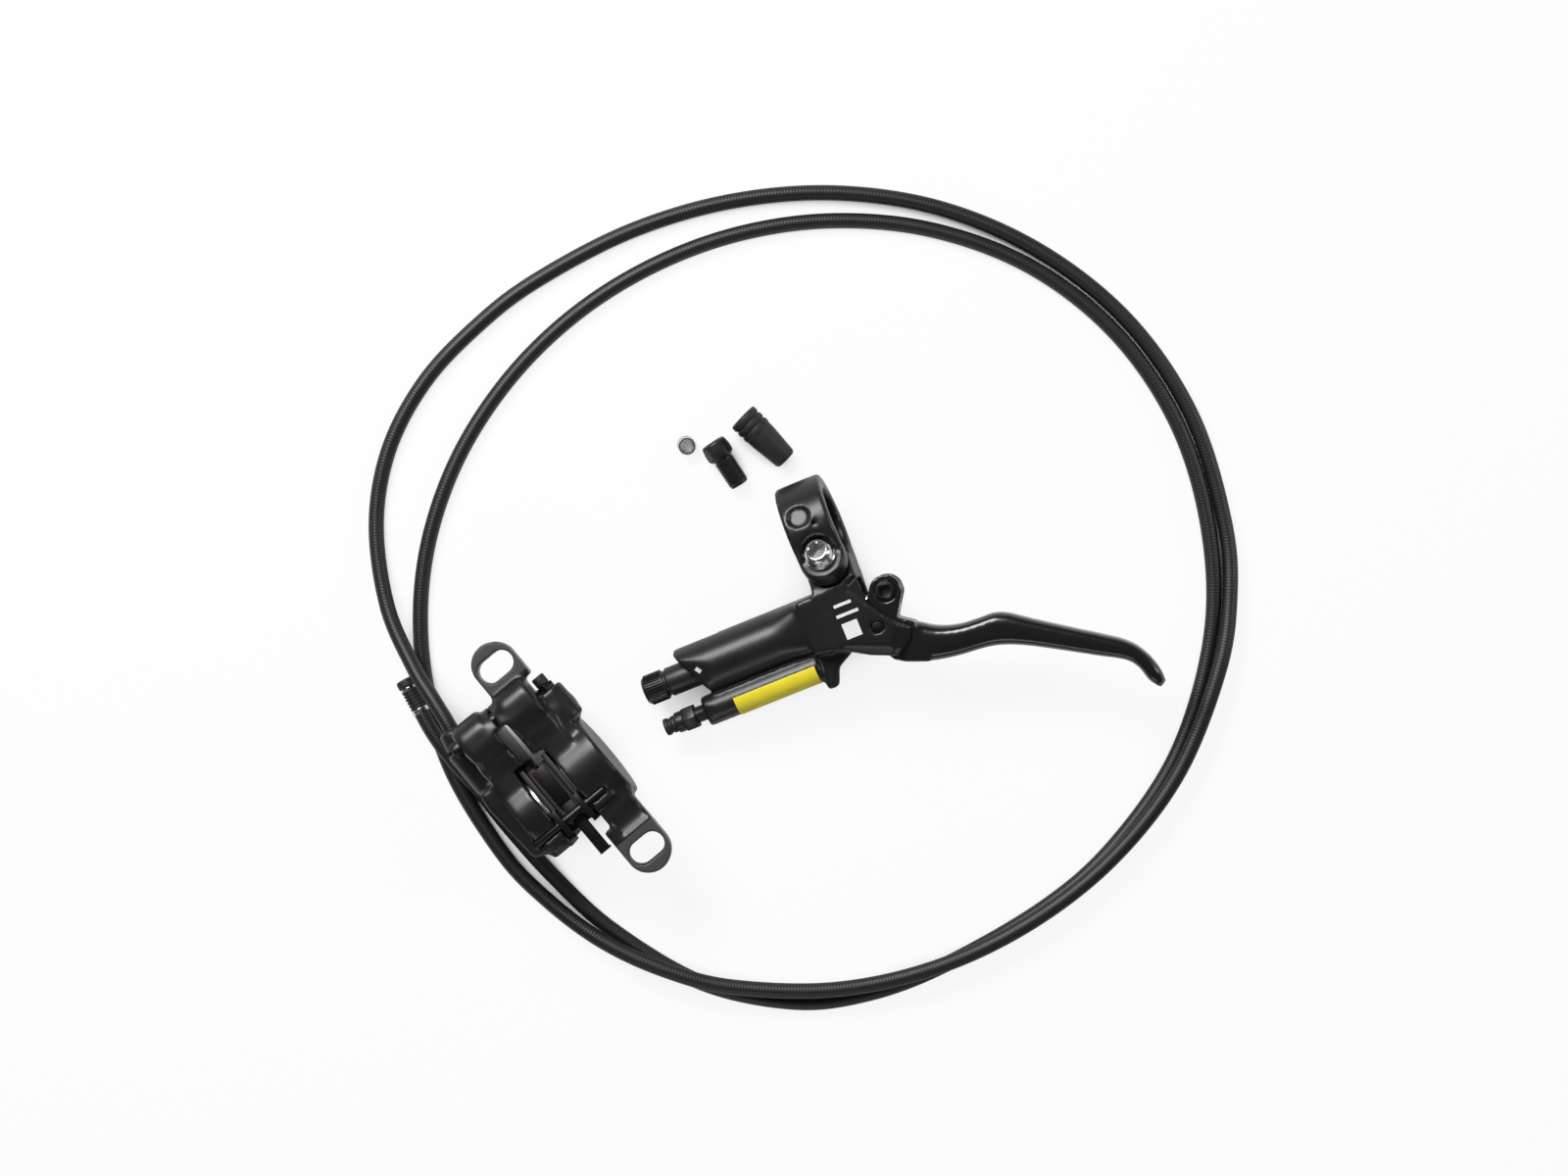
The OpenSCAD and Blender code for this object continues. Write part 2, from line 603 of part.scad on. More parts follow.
module loose_compression_nut() color(satin_black) lay(-30.3, 63.7, 5.12, 6.1, -56.6) difference() {
  union() {
    intersection() {
      along_x(0, 6, 0, 0, 4.5);
      rotate([0, 90, 0]) cylinder(h = 6, r = 4.9, $fn = 6);
    }
    along_x(5.9, 16.3, 0, 0, 3.4);
  }
  along_x(-1, 17, 0, 0, 2.6);
  for (x = [7.5 : 1.1 : 15.5]) difference() {
    along_x(x, x + 0.45, 0, 0, 4);
    along_x(x - 0.1, x + 0.6, 0, 0, 3.1);
  }
}

module loose_boot() color(rubber_black) lay(-20.6, 71.9, 5.7, 5.8, -44) difference() {
  union() {
    along_x(0, 7, 0, 0, 4.7);
    along_x(0.2, 1.6, 0, 0, 5);
    along_x(5.4, 7, 0, 0, 5);
    along_x(7, 19.8, 0, 0, 4.8, 3.7);
  }
  along_x(-1, 12, 0, 0, 3.6);
  along_x(11, 21, 0, 0, 2.55);
}

lever_body();
clamp_bolt();
lever_blade();
pivot_pin();
pivot_clip();
barrel_pin();
pushrod();
master_piston();
primary_cup();
secondary_seal();
return_spring();
piston_ring();
reservoir_diaphragm();
reservoir_cover();
reservoir_screws();
lever_bleed_screw();
port_plug();
sensor_body();
sensor_lock_nut();
sensor_cap();
sensor_magnet();
tube_sticker();
body_marks();
caliper_mount_half();
caliper_outer_half();
caliper_body_bolts();
piston_left();
piston_right();
piston_seals();
transfer_seal();
pad_plate_left();
pad_plate_right();
pad_lining_left();
pad_lining_right();
pad_spring();
pad_pin();
caliper_bleed_screw();
bleed_cap();
hose_gland_nut();
brake_hose();
hose_sleeve();
hose_bands();
hose_end_cap();
loose_olive();
loose_compression_nut();
loose_boot();
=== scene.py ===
"""Looks of the hydraulic disc brake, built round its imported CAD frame.

The lever, the caliper, the hose in its two loops and the three loose hose fittings lie on a pale
floor and are seen from straight above. Lengths in the classes are millimetres in the frame of the
sub-assembly that they belong to, and every finished mesh is in metres in the row's frame.
"""

from __future__ import annotations

import json
import logging
import math
from dataclasses import dataclass, field
from enum import Enum
from typing import Any, Callable, Iterable, Sequence

import bmesh
import bpy
from mathutils import Matrix, Vector

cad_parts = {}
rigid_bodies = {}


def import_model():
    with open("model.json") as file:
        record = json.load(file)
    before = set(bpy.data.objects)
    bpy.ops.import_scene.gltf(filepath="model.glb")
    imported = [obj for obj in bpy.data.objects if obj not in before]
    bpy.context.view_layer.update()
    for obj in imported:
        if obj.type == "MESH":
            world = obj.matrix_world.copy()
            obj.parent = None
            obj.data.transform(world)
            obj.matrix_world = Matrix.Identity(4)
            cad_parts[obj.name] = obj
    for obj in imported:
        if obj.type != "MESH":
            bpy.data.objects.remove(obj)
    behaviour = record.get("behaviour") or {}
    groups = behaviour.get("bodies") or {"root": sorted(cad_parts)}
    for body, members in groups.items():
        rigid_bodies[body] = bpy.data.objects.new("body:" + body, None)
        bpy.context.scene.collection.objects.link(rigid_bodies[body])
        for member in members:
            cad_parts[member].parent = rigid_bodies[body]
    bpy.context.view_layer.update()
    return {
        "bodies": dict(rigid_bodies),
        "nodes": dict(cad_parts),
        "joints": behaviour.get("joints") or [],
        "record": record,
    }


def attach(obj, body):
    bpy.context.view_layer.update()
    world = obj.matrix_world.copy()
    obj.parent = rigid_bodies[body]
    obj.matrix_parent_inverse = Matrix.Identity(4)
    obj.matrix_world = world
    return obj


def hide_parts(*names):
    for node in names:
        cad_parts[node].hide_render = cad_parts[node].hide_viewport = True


LOG = logging.getLogger("brake")

MM = 0.001
# Corners of a CAD mesh closer than this are one, in millimetres.
MERGE_WITHIN = 0.002
# Faces within this many degrees of each other are one flat face.
FLAT_WITHIN = 1.0
# Edges sharper than this, in degrees, are broken.
BROKEN_FROM = 32.0
ORIGIN_SHIFT = (1.648, -1.411, 0.0)
ROOT_BODY = "brake"

Point2 = tuple[float, float]
Point3 = tuple[float, float, float]


def placed(spot: Point3, turn: float, tip: float = 0.0) -> Matrix:
    """A frame in millimetres that lies at a spot, tipped about its Y and then turned about Z.

    Args:
        spot: where its origin lies before the row's origin is moved to the middle.
        turn: degrees about Z.
        tip: degrees about its own Y.
    Returns:
        the matrix from the frame's millimetres to the row's metres.
    """
    shifted = Vector(spot) + Vector(ORIGIN_SHIFT)
    turned = Matrix.Rotation(math.radians(turn), 4, "Z")
    tipped = Matrix.Rotation(math.radians(tip), 4, "Y")
    return Matrix.Translation(shifted * MM) @ turned @ tipped @ Matrix.Scale(MM, 4)


LEVER_FRAME = placed((2.8, 35.5, 17.25), 22.0, -8.0)
CALIPER_FRAME = placed((-73.9, -36.3, 0.0), -50.2)


class Slot(Enum):
    """The record's material slots."""

    SATIN_BLACK = "satin_black"
    GLOSS_BLACK = "gloss_black"
    RUBBER = "black_rubber"
    HOSE = "hose_jacket"
    STEEL = "steel"
    ALUMINIUM = "machined_aluminium"
    LINING = "friction_lining"
    LABEL = "yellow_label"
    INK = "white_print"


class Value:
    """A number in a material; arithmetic on it adds Math nodes."""

    def __init__(self, recipe: "Recipe", socket: bpy.types.NodeSocket) -> None:
        """Wraps one output socket of a recipe."""
        self.recipe = recipe
        self.socket = socket

    def _math(self, operation: str, *terms: Any) -> "Value":
        """One Math node on the given terms."""
        inputs = dict(enumerate(terms))
        node = self.recipe.node("ShaderNodeMath", {"operation": operation}, inputs)
        return Value(self.recipe, node.outputs[0])

    def __add__(self, other: Any) -> "Value":
        """self + other."""
        return self._math("ADD", self, other)

    __radd__ = __add__

    def __sub__(self, other: Any) -> "Value":
        """self - other."""
        return self._math("SUBTRACT", self, other)

    def __rsub__(self, other: Any) -> "Value":
        """other - self."""
        return self._math("SUBTRACT", other, self)

    def __mul__(self, other: Any) -> "Value":
        """self * other."""
        return self._math("MULTIPLY", self, other)

    __rmul__ = __mul__

    def __abs__(self) -> "Value":
        """Its size without its sign."""
        return self._math("ABSOLUTE", self)

    def sin(self) -> "Value":
        """Its sine."""
        return self._math("SINE", self)

    def step(self, low: float, high: float) -> "Value":
        """A smooth step from 0 at low to 1 at high."""
        node = self.recipe.node(
            "ShaderNodeMapRange",
            {"interpolation_type": "SMOOTHSTEP"},
            {"Value": self, "From Min": low, "From Max": high},
        )
        return Value(self.recipe, node.outputs["Result"])


class Recipe:
    """A material being written."""

    def __init__(self, name: str) -> None:
        """Starts an empty material of that name."""
        self.material = bpy.data.materials.new(name)
        self.material.use_nodes = True
        self.tree = self.material.node_tree
        self.tree.nodes.clear()
        coordinates = self.node("ShaderNodeTexCoord")
        self.place = coordinates.outputs["Object"]
        self.uv = coordinates.outputs["UV"]

    def node(
        self,
        kind: str,
        settings: dict[str, Any] | None = None,
        inputs: dict[Any, Any] | None = None,
    ) -> bpy.types.Node:
        """Adds one node.

        Args:
            kind: the node's type.
            settings: its properties, set first.
            inputs: values or links for its sockets, by name or index.
        Returns:
            the node.
        """
        node = self.tree.nodes.new(kind)
        for key, setting in (settings or {}).items():
            setattr(node, key, setting)
        for key, given in (inputs or {}).items():
            if isinstance(given, Value):
                given = given.socket
            if isinstance(given, bpy.types.NodeSocket):
                self.tree.links.new(given, node.inputs[key])
            else:
                node.inputs[key].default_value = given
        return node

    def noise(self, per_mm: float, detail: float = 3.0) -> Value:
        """Noise of that many lumps per millimetre, from 0 to 1."""
        node = self.node(
            "ShaderNodeTexNoise",
            {"noise_dimensions": "3D"},
            {"Vector": self.place, "Scale": per_mm / MM, "Detail": detail, "Roughness": 0.55},
        )
        return Value(self, node.outputs[0])

    def along(self, frame: Matrix, axis: int) -> Value:
        """The place along one axis of a frame, in its millimetres."""
        row = frame.inverted()[axis]
        node = self.node(
            "ShaderNodeVectorMath",
            {"operation": "DOT_PRODUCT"},
            {0: self.place, 1: (row[0], row[1], row[2])},
        )
        return Value(self, node.outputs["Value"]) + row[3]

    def uv_part(self, axis: int) -> Value:
        """U or V of the piece's own map."""
        node = self.node("ShaderNodeSeparateXYZ", None, {0: self.uv})
        return Value(self, node.outputs[axis])

    def blend(self, amount: Value, first: Any, second: Any) -> bpy.types.NodeSocket:
        """The colour between two colours, by an amount from 0 to 1."""
        colours = [(*c, 1.0) if isinstance(c, tuple) else c for c in (first, second)]
        node = self.node(
            "ShaderNodeMix",
            {"data_type": "RGBA"},
            {0: amount, 6: colours[0], 7: colours[1]},
        )
        return node.outputs[2]

    def bump(self, height: Value, depth_mm: float, strength: float = 1.0) -> bpy.types.NodeSocket:
        """A normal pushed by a height of that depth."""
        node = self.node(
            "ShaderNodeBump",
            None,
            {"Strength": strength, "Distance": depth_mm * MM, "Height": height},
        )
        return node.outputs["Normal"]

    def shade(self, **inputs: Any) -> bpy.types.Material:
        """Ends the recipe in one principled shader; spaces in socket names are underscores."""
        named = {key.replace("_", " "): given for key, given in inputs.items()}
        for key, given in named.items():
            if key == "Base Color" and isinstance(given, tuple):
                named[key] = (*given, 1.0)
        shader = self.node("ShaderNodeBsdfPrincipled", None, named)
        self.node("ShaderNodeOutputMaterial", None, {"Surface": shader.outputs[0]})
        return self.material


@dataclass(frozen=True)
class CastPaint:
    """Satin black paint over a casting, with bare grey on the caliper's machined ears."""

    black: Point3 = (0.0075, 0.0076, 0.008)
    worn: Point3 = (0.012, 0.012, 0.0126)
    bare: Point3 = (0.052, 0.053, 0.055)
    ear_height: float = 29.75
    ear_from: float = 30.6
    ear_to: float = 46.0
    ear_half_width: float = 7.6
    blur: float = 0.3

    def material(self) -> bpy.types.Material:
        """The paint's material."""
        recipe = Recipe("satin_black_casting")
        cloud = recipe.noise(0.06, 4.0)
        grain = recipe.noise(2.4, 2.0)
        height = recipe.along(CALIPER_FRAME, 2)
        reach = abs(recipe.along(CALIPER_FRAME, 0))
        side = abs(recipe.along(CALIPER_FRAME, 1))
        ears = height.step(self.ear_height - 0.12, self.ear_height + 0.08)
        ears = ears * reach.step(self.ear_from - 0.2, self.ear_from + 0.2)
        ears = ears * (1.0 - side.step(self.ear_half_width, self.ear_half_width + self.blur))
        ears = ears * (1.0 - reach.step(self.ear_to, self.ear_to + self.blur))
        painted = recipe.blend(cloud.step(0.35, 0.7), self.black, self.worn)
        colour = recipe.blend(ears, painted, self.bare)
        roughness = 0.29 + cloud * 0.1 + ears * 0.16
        return recipe.shade(
            Base_Color=colour,
            Roughness=roughness,
            Normal=recipe.bump(grain, 0.03, 0.35),
        )


@dataclass(frozen=True)
class GlossPaint:
    """Gloss black on the blade: smooth, with a faint orange-peel."""

    black: Point3 = (0.005, 0.005, 0.0054)
    roughness: float = 0.2

    def material(self) -> bpy.types.Material:
        """The paint's material."""
        recipe = Recipe("gloss_black_blade")
        cloud = recipe.noise(0.15, 3.0)
        peel = recipe.noise(0.9, 2.0)
        return recipe.shade(
            Base_Color=recipe.blend(cloud, self.black, (0.008, 0.008, 0.0084)),
            Roughness=self.roughness + cloud * 0.08,
            Normal=recipe.bump(peel, 0.02, 0.3),
            Coat_Weight=0.35 + cloud * 0.1,
        )


@dataclass(frozen=True)
class Rubber:
    """Moulded black rubber or plastic."""

    name: str = "black_rubber"
    black: Point3 = (0.011, 0.011, 0.0115)
    roughness: float = 0.5

    def material(self) -> bpy.types.Material:
        """The rubber's material."""
        recipe = Recipe(self.name)
        cloud = recipe.noise(0.25, 4.0)
        grain = recipe.noise(3.5, 2.0)
        return recipe.shade(
            Base_Color=recipe.blend(cloud, self.black, tuple(1.5 * c for c in self.black)),
            Roughness=self.roughness + grain * 0.12,
            Normal=recipe.bump(grain, 0.02, 0.4),
        )


@dataclass(frozen=True)
class HoseJacket:
    """The hose's black jacket, with the fine weave of its braid showing through."""

    black: Point3 = (0.008, 0.008, 0.0084)
    pitch: float = 1.0
    strands: int = 8

    def material(self) -> bpy.types.Material:
        """The jacket's material; U runs along the hose in millimetres, V once round it."""
        recipe = Recipe("hose_jacket")
        lengthwise = recipe.uv_part(0) * (math.pi / self.pitch)
        around = recipe.uv_part(1) * (math.pi * self.strands)
        weave = (lengthwise + around).sin() * (lengthwise - around).sin()
        wear = recipe.noise(0.1, 3.0)
        return recipe.shade(
            Base_Color=recipe.blend(weave.step(-0.6, 0.9), self.black, (0.013, 0.013, 0.0137)),
            Roughness=0.4 + wear * 0.12,
            Normal=recipe.bump(weave, 0.06, 0.55),
        )


@dataclass(frozen=True)
class Metal:
    """Bare metal with a fine turned or brushed grain."""

    name: str
    colour: Point3
    roughness: float
    grain: float = 1.2
    depth: float = 0.01

    def material(self) -> bpy.types.Material:
        """The metal's material."""
        recipe = Recipe(self.name)
        cloud = recipe.noise(0.2, 3.0)
        grain = recipe.noise(self.grain, 2.0)
        darker = tuple(0.8 * c for c in self.colour)
        return recipe.shade(
            Base_Color=recipe.blend(cloud, self.colour, darker),
            Metallic=1.0,
            Roughness=self.roughness + grain * 0.12,
            Normal=recipe.bump(grain, self.depth, 0.4),
        )


@dataclass(frozen=True)
class FrictionLining:
    """Pressed brake lining: dark brown with metal flecks."""

    brown: Point3 = (0.05, 0.038, 0.03)

    def material(self) -> bpy.types.Material:
        """The lining's material."""
        recipe = Recipe("friction_lining")
        flecks = recipe.noise(3.0, 3.0).step(0.62, 0.7)
        lumps = recipe.noise(1.2, 4.0)
        return recipe.shade(
            Base_Color=recipe.blend(flecks, self.brown, (0.3, 0.24, 0.18)),
            Roughness=0.85 - flecks * 0.3,
            Normal=recipe.bump(lumps, 0.12, 0.7),
        )


@dataclass(frozen=True)
class PrintedFilm:
    """A printed surface: the yellow label and the white marks."""

    name: str
    colour: Point3
    roughness: float = 0.45

    def material(self) -> bpy.types.Material:
        """The print's material."""
        recipe = Recipe(self.name)
        cloud = recipe.noise(0.3, 3.0)
        darker = tuple(0.93 * c for c in self.colour)
        return recipe.shade(
            Base_Color=recipe.blend(cloud.step(0.3, 0.8), self.colour, darker),
            Roughness=self.roughness + cloud * 0.1,
            Normal=recipe.bump(cloud, 0.02, 0.2),
        )


@dataclass(frozen=True)
class StudioPaper:
    """The white floor, which keeps a faint shadow under the brake."""

    shelter: float = 30.0

    def material(self) -> bpy.types.Material:
        """The floor's material: white to the camera, plain paper to everything else."""
        recipe = Recipe("studio_paper")
        cloud = recipe.noise(0.01, 2.0)
        paper = recipe.node(
            "ShaderNodeBsdfDiffuse",
            None,
            {"Color": recipe.blend(cloud, (0.86, 0.86, 0.86), (0.88, 0.88, 0.88))},
        )
        glow = recipe.node(
            "ShaderNodeEmission", None, {"Color": (1.0, 1.0, 1.0, 1.0), "Strength": 1.0}
        )
        path = recipe.node("ShaderNodeLightPath")
        seen = Value(recipe, path.outputs["Is Camera Ray"])
        shelter = recipe.node(
            "ShaderNodeAmbientOcclusion", {"samples": 16}, {"Distance": self.shelter * MM}
        )
        open_sky = Value(recipe, shelter.outputs["AO"]).step(0.1, 0.6)
        mixed = recipe.node(
            "ShaderNodeMixShader",
            None,
            {0: seen * open_sky * 0.9, 1: paper.outputs[0], 2: glow.outputs[0]},
        )
        recipe.node("ShaderNodeOutputMaterial", None, {"Surface": mixed.outputs[0]})
        return recipe.material


class Finishes:
    """Every finish of the brake, made once."""

    def __init__(self) -> None:
        """Writes the materials."""
        self.cast = CastPaint().material()
        self.gloss = GlossPaint().material()
        self.rubber = Rubber().material()
        self.plastic = Rubber("black_plastic", (0.009, 0.009, 0.0094), 0.34).material()
        self.hose = HoseJacket().material()
        self.steel = Metal("bright_steel", (0.78, 0.79, 0.8), 0.1).material()
        self.black_steel = Metal("black_steel", (0.045, 0.045, 0.047), 0.32).material()
        self.aluminium = Metal("machined_aluminium", (0.7, 0.71, 0.73), 0.26).material()
        self.lining = FrictionLining().material()
        self.label = PrintedFilm("yellow_label", (0.93, 0.78, 0.03)).material()
        self.ink = PrintedFilm("white_ink", (0.86, 0.87, 0.87)).material()
        self.paper = StudioPaper().material()

    def by_slot(self) -> dict[str, bpy.types.Material]:
        """The finish of each of the record's slots, in the order of Slot."""
        metals = (self.steel, self.aluminium)
        finishes = (
            self.cast, self.gloss, self.rubber, self.hose, *metals, self.lining, self.label, self.ink
        )
        return {slot.value: finish for slot, finish in zip(Slot, finishes)}


def bake(piece: bpy.types.Object) -> bpy.types.Object:
    """Turns a piece's modifiers into plain mesh."""
    graph = bpy.context.evaluated_depsgraph_get()
    graph.update()
    mesh = bpy.data.meshes.new_from_object(piece.evaluated_get(graph))
    piece.modifiers.clear()
    piece.data = mesh
    return piece


def new_piece(name: str, mesh: bpy.types.Mesh) -> bpy.types.Object:
    """An object of that mesh, in the scene."""
    piece = bpy.data.objects.new(name, mesh)
    bpy.context.scene.collection.objects.link(piece)
    return piece


def from_points(
    name: str,
    points: Iterable[Sequence[float]],
    faces: Iterable[Sequence[int]],
    frame: Matrix,
) -> bpy.types.Object:
    """A closed mesh piece from points in a frame's millimetres.

    Args:
        name: the piece's name.
        points: its vertices in the frame.
        faces: its faces, as indices into points.
        frame: from those millimetres to the row.
    Returns:
        the piece, with its normals pointing outwards.
    """
    mesh = bpy.data.meshes.new(name)
    mesh.from_pydata([tuple(p) for p in points], [], [tuple(f) for f in faces])
    mesh.transform(frame)
    shell = bmesh.new()
    shell.from_mesh(mesh)
    bmesh.ops.recalc_face_normals(shell, faces=shell.faces)
    shell.to_mesh(mesh)
    shell.free()
    return new_piece(name, mesh)


def box_between(name: str, low: Point3, high: Point3, frame: Matrix) -> bpy.types.Object:
    """A block between two corners in a frame's millimetres."""
    points = [
        (x, y, z) for x in (low[0], high[0]) for y in (low[1], high[1]) for z in (low[2], high[2])
    ]
    faces = [(0, 1, 3, 2), (4, 6, 7, 5), (0, 4, 5, 1), (2, 3, 7, 6), (0, 2, 6, 4), (1, 5, 7, 3)]
    return from_points(name, points, faces, frame)


def carved(piece: bpy.types.Object, tools: Sequence[bpy.types.Object]) -> bpy.types.Object:
    """Takes the tools' forms out of a piece; the tools are removed."""
    for tool in tools:
        cut = piece.modifiers.new("cut", "BOOLEAN")
        cut.operation = "DIFFERENCE"
        cut.solver = "EXACT"
        cut.object = tool
        bake(piece)
        bpy.data.objects.remove(tool)
    return piece


def ball(centre: Point3, radii: Point3, frame: Matrix) -> bpy.types.Object:
    """An ellipsoid in a frame's millimetres, to be melted into a casting."""
    profile = [(math.cos(math.pi * k / 16), math.sin(math.pi * k / 16)) for k in range(1, 16)]
    stretch = Matrix.Diagonal((*radii, 1.0))
    place = frame @ Matrix.Translation(centre) @ stretch
    return lathed("ball", [(1.0, 0), *profile, (-1.0, 0)], place, 32)


def copied(name: str, nodes: dict[str, bpy.types.Object], *sources: str) -> bpy.types.Object:
    """A copy of some CAD nodes as one mesh, with its loose triangles merged."""
    shell = bmesh.new()
    for source in sources:
        shell.from_mesh(nodes[source].data)
    bmesh.ops.remove_doubles(shell, verts=shell.verts, dist=MERGE_WITHIN * MM)
    mesh = bpy.data.meshes.new(name)
    shell.to_mesh(mesh)
    shell.free()
    return new_piece(name, mesh)


def joined(name: str, pieces: Sequence[bpy.types.Object]) -> bpy.types.Object:
    """One piece from several, which are removed."""
    shell = bmesh.new()
    for piece in pieces:
        shell.from_mesh(piece.data)
    mesh = bpy.data.meshes.new(name)
    shell.to_mesh(mesh)
    shell.free()
    for piece in pieces:
        bpy.data.objects.remove(piece)
    return new_piece(name, mesh)


def melted(
    piece: bpy.types.Object,
    voxel: float,
    passes: int,
    softness: Callable[[Vector], float] | None = None,
) -> bpy.types.Object:
    """Gives a casting its fillets: one skin of small quads, eased until its edges are round.

    Args:
        piece: the sharp shape; overlapping shells become one.
        voxel: the skin's quad size, in millimetres.
        passes: how often it is eased.
        softness: how far a point in the row is eased, from 0 to 1.
    Returns:
        the same piece with a plain mesh.
    """
    remesh = piece.modifiers.new("skin", "REMESH")
    remesh.mode = "VOXEL"
    remesh.voxel_size = voxel * MM
    bake(piece)
    ease = piece.modifiers.new("ease", "SMOOTH")
    ease.factor = 0.5
    ease.iterations = passes
    if softness:
        group = piece.vertex_groups.new(name="softness")
        for vertex in piece.data.vertices:
            group.add([vertex.index], softness(vertex.co), "REPLACE")
        ease.vertex_group = group.name
    bake(piece)
    piece.vertex_groups.clear()
    for face in piece.data.polygons:
        face.use_smooth = True
    return piece


def crisp(piece: bpy.types.Object, width: float) -> bpy.types.Object:
    """Breaks a turned or pressed piece's edges with a bevel of that width in millimetres."""
    shell = bmesh.new()
    shell.from_mesh(piece.data)
    bmesh.ops.dissolve_limit(
        shell, angle_limit=math.radians(FLAT_WITHIN), verts=shell.verts, edges=shell.edges
    )
    shell.to_mesh(piece.data)
    shell.free()
    bevel = piece.modifiers.new("broken_edges", "BEVEL")
    bevel.width = width * MM
    bevel.segments = 2
    bevel.limit_method = "ANGLE"
    bevel.angle_limit = math.radians(BROKEN_FROM)
    bevel.use_clamp_overlap = True
    bake(piece)
    piece.data.shade_smooth()
    return sharpened(piece, 38.0)


def catmull(points: Sequence[Vector], steps: int) -> list[Vector]:
    """A smooth line through points.

    Args:
        points: what it passes through, in two or three dimensions.
        steps: how many stretches each gap is cut into.
    Returns:
        the line's points, both ends included.
    """
    line = []
    last = len(points) - 1
    for i in range(last):
        a, b = points[max(i - 1, 0)], points[i]
        c, d = points[i + 1], points[min(i + 2, last)]
        for step in range(steps):
            t = step / steps
            line.append(
                0.5
                * (
                    2 * b
                    + (c - a) * t
                    + (2 * a - 5 * b + 4 * c - d) * t**2
                    + (3 * b - a - 3 * c + d) * t**3
                )
            )
    line.append(points[last].copy())
    return line


def sharpened(piece: bpy.types.Object, angle: float) -> bpy.types.Object:
    """Keeps a smooth piece's edges sharp where they turn by more than that many degrees."""
    piece.data.set_sharp_from_angle(angle=math.radians(angle))
    return piece


def lathed(
    name: str, profile: Sequence[Point2], frame: Matrix, segments: int = 64
) -> bpy.types.Object:
    """A turned piece about the frame's X axis.

    Args:
        name: the piece's name.
        profile: (x, radius) pairs round its section; a radius of 0 closes it on the axis.
        frame: from its millimetres to the row.
        segments: how many steps it is turned in.
    Returns:
        the piece; a profile that starts and ends off the axis is closed into a ring.
    """
    points: list[Point3] = []
    rings: list[list[int]] = []
    for x, radius in profile:
        if radius == 0:
            rings.append([len(points)] * segments)
            points.append((x, 0.0, 0.0))
            continue
        start = len(points)
        for k in range(segments):
            angle = math.tau * k / segments
            points.append((x, radius * math.cos(angle), radius * math.sin(angle)))
        rings.append(list(range(start, start + segments)))
    if profile[0][1] > 0 and profile[-1][1] > 0:
        rings.append(rings[0])
    faces = []
    for low, high in zip(rings, rings[1:]):
        for k in range(segments):
            after = (k + 1) % segments
            corner = [low[k], low[after], high[after], high[k]]
            unique = list(dict.fromkeys(corner))
            if len(unique) > 2:
                faces.append(unique)
    piece = from_points(name, points, faces, frame)
    piece.data.shade_smooth()
    return sharpened(piece, 35.0)


def squarish(power: float, around: int) -> list[Point2]:
    """Points round a section that is a circle at a power of 1 and nears a square below it.

    Args:
        power: how round its corners are.
        around: how many points it has.
    Returns:
        (across, deep) pairs, each from -1 to 1.
    """
    section = []
    for k in range(around):
        angle = math.tau * k / around
        c, s = math.cos(angle), math.sin(angle)
        section.append((math.copysign(abs(c) ** power, c), math.copysign(abs(s) ** power, s)))
    return section


def ring_faces(rings: int, around: int) -> list[list[int]]:
    """The side faces of a skin over rings of points, each ring with as many."""
    faces = []
    for i in range(rings - 1):
        for k in range(around):
            a, b = i * around + k, i * around + (k + 1) % around
            faces.append([a, b, b + around, a + around])
    return faces


def lofted(name: str, points: Sequence[Point3], around: int, frame: Matrix) -> bpy.types.Object:
    """A closed skin over rings of points, flat at both ends.

    Args:
        name: the piece's name.
        points: the rings' points, one ring after the other, in the frame's millimetres.
        around: how many points a ring has.
        frame: from those millimetres to the row.
    Returns:
        the piece.
    """
    last = len(points) - around
    ends = [list(range(around)), list(range(last, last + around))]
    return from_points(name, points, ends + ring_faces(len(points) // around, around), frame)


def rounded(profile: Sequence[Point2], radius: float, steps: int = 3) -> list[Point2]:
    """A profile with its corners off the axis rounded to a radius."""
    out: list[Point2] = []
    count = len(profile)
    for i, corner in enumerate(profile):
        here = Vector(corner)
        before = Vector(profile[(i - 1) % count]) - here
        after = Vector(profile[(i + 1) % count]) - here
        if corner[1] == 0 or (i in (0, count - 1) and profile[0][1] == 0):
            out.append(corner)
            continue
        cut = min(radius, before.length * 0.45, after.length * 0.45)
        start = here + before.normalized() * cut
        end = here + after.normalized() * cut
        for step in range(steps + 1):
            t = step / steps
            bent = start * (1 - t) ** 2 + here * (2 * t * (1 - t)) + end * t**2
            out.append((bent.x, bent.y))
    return out


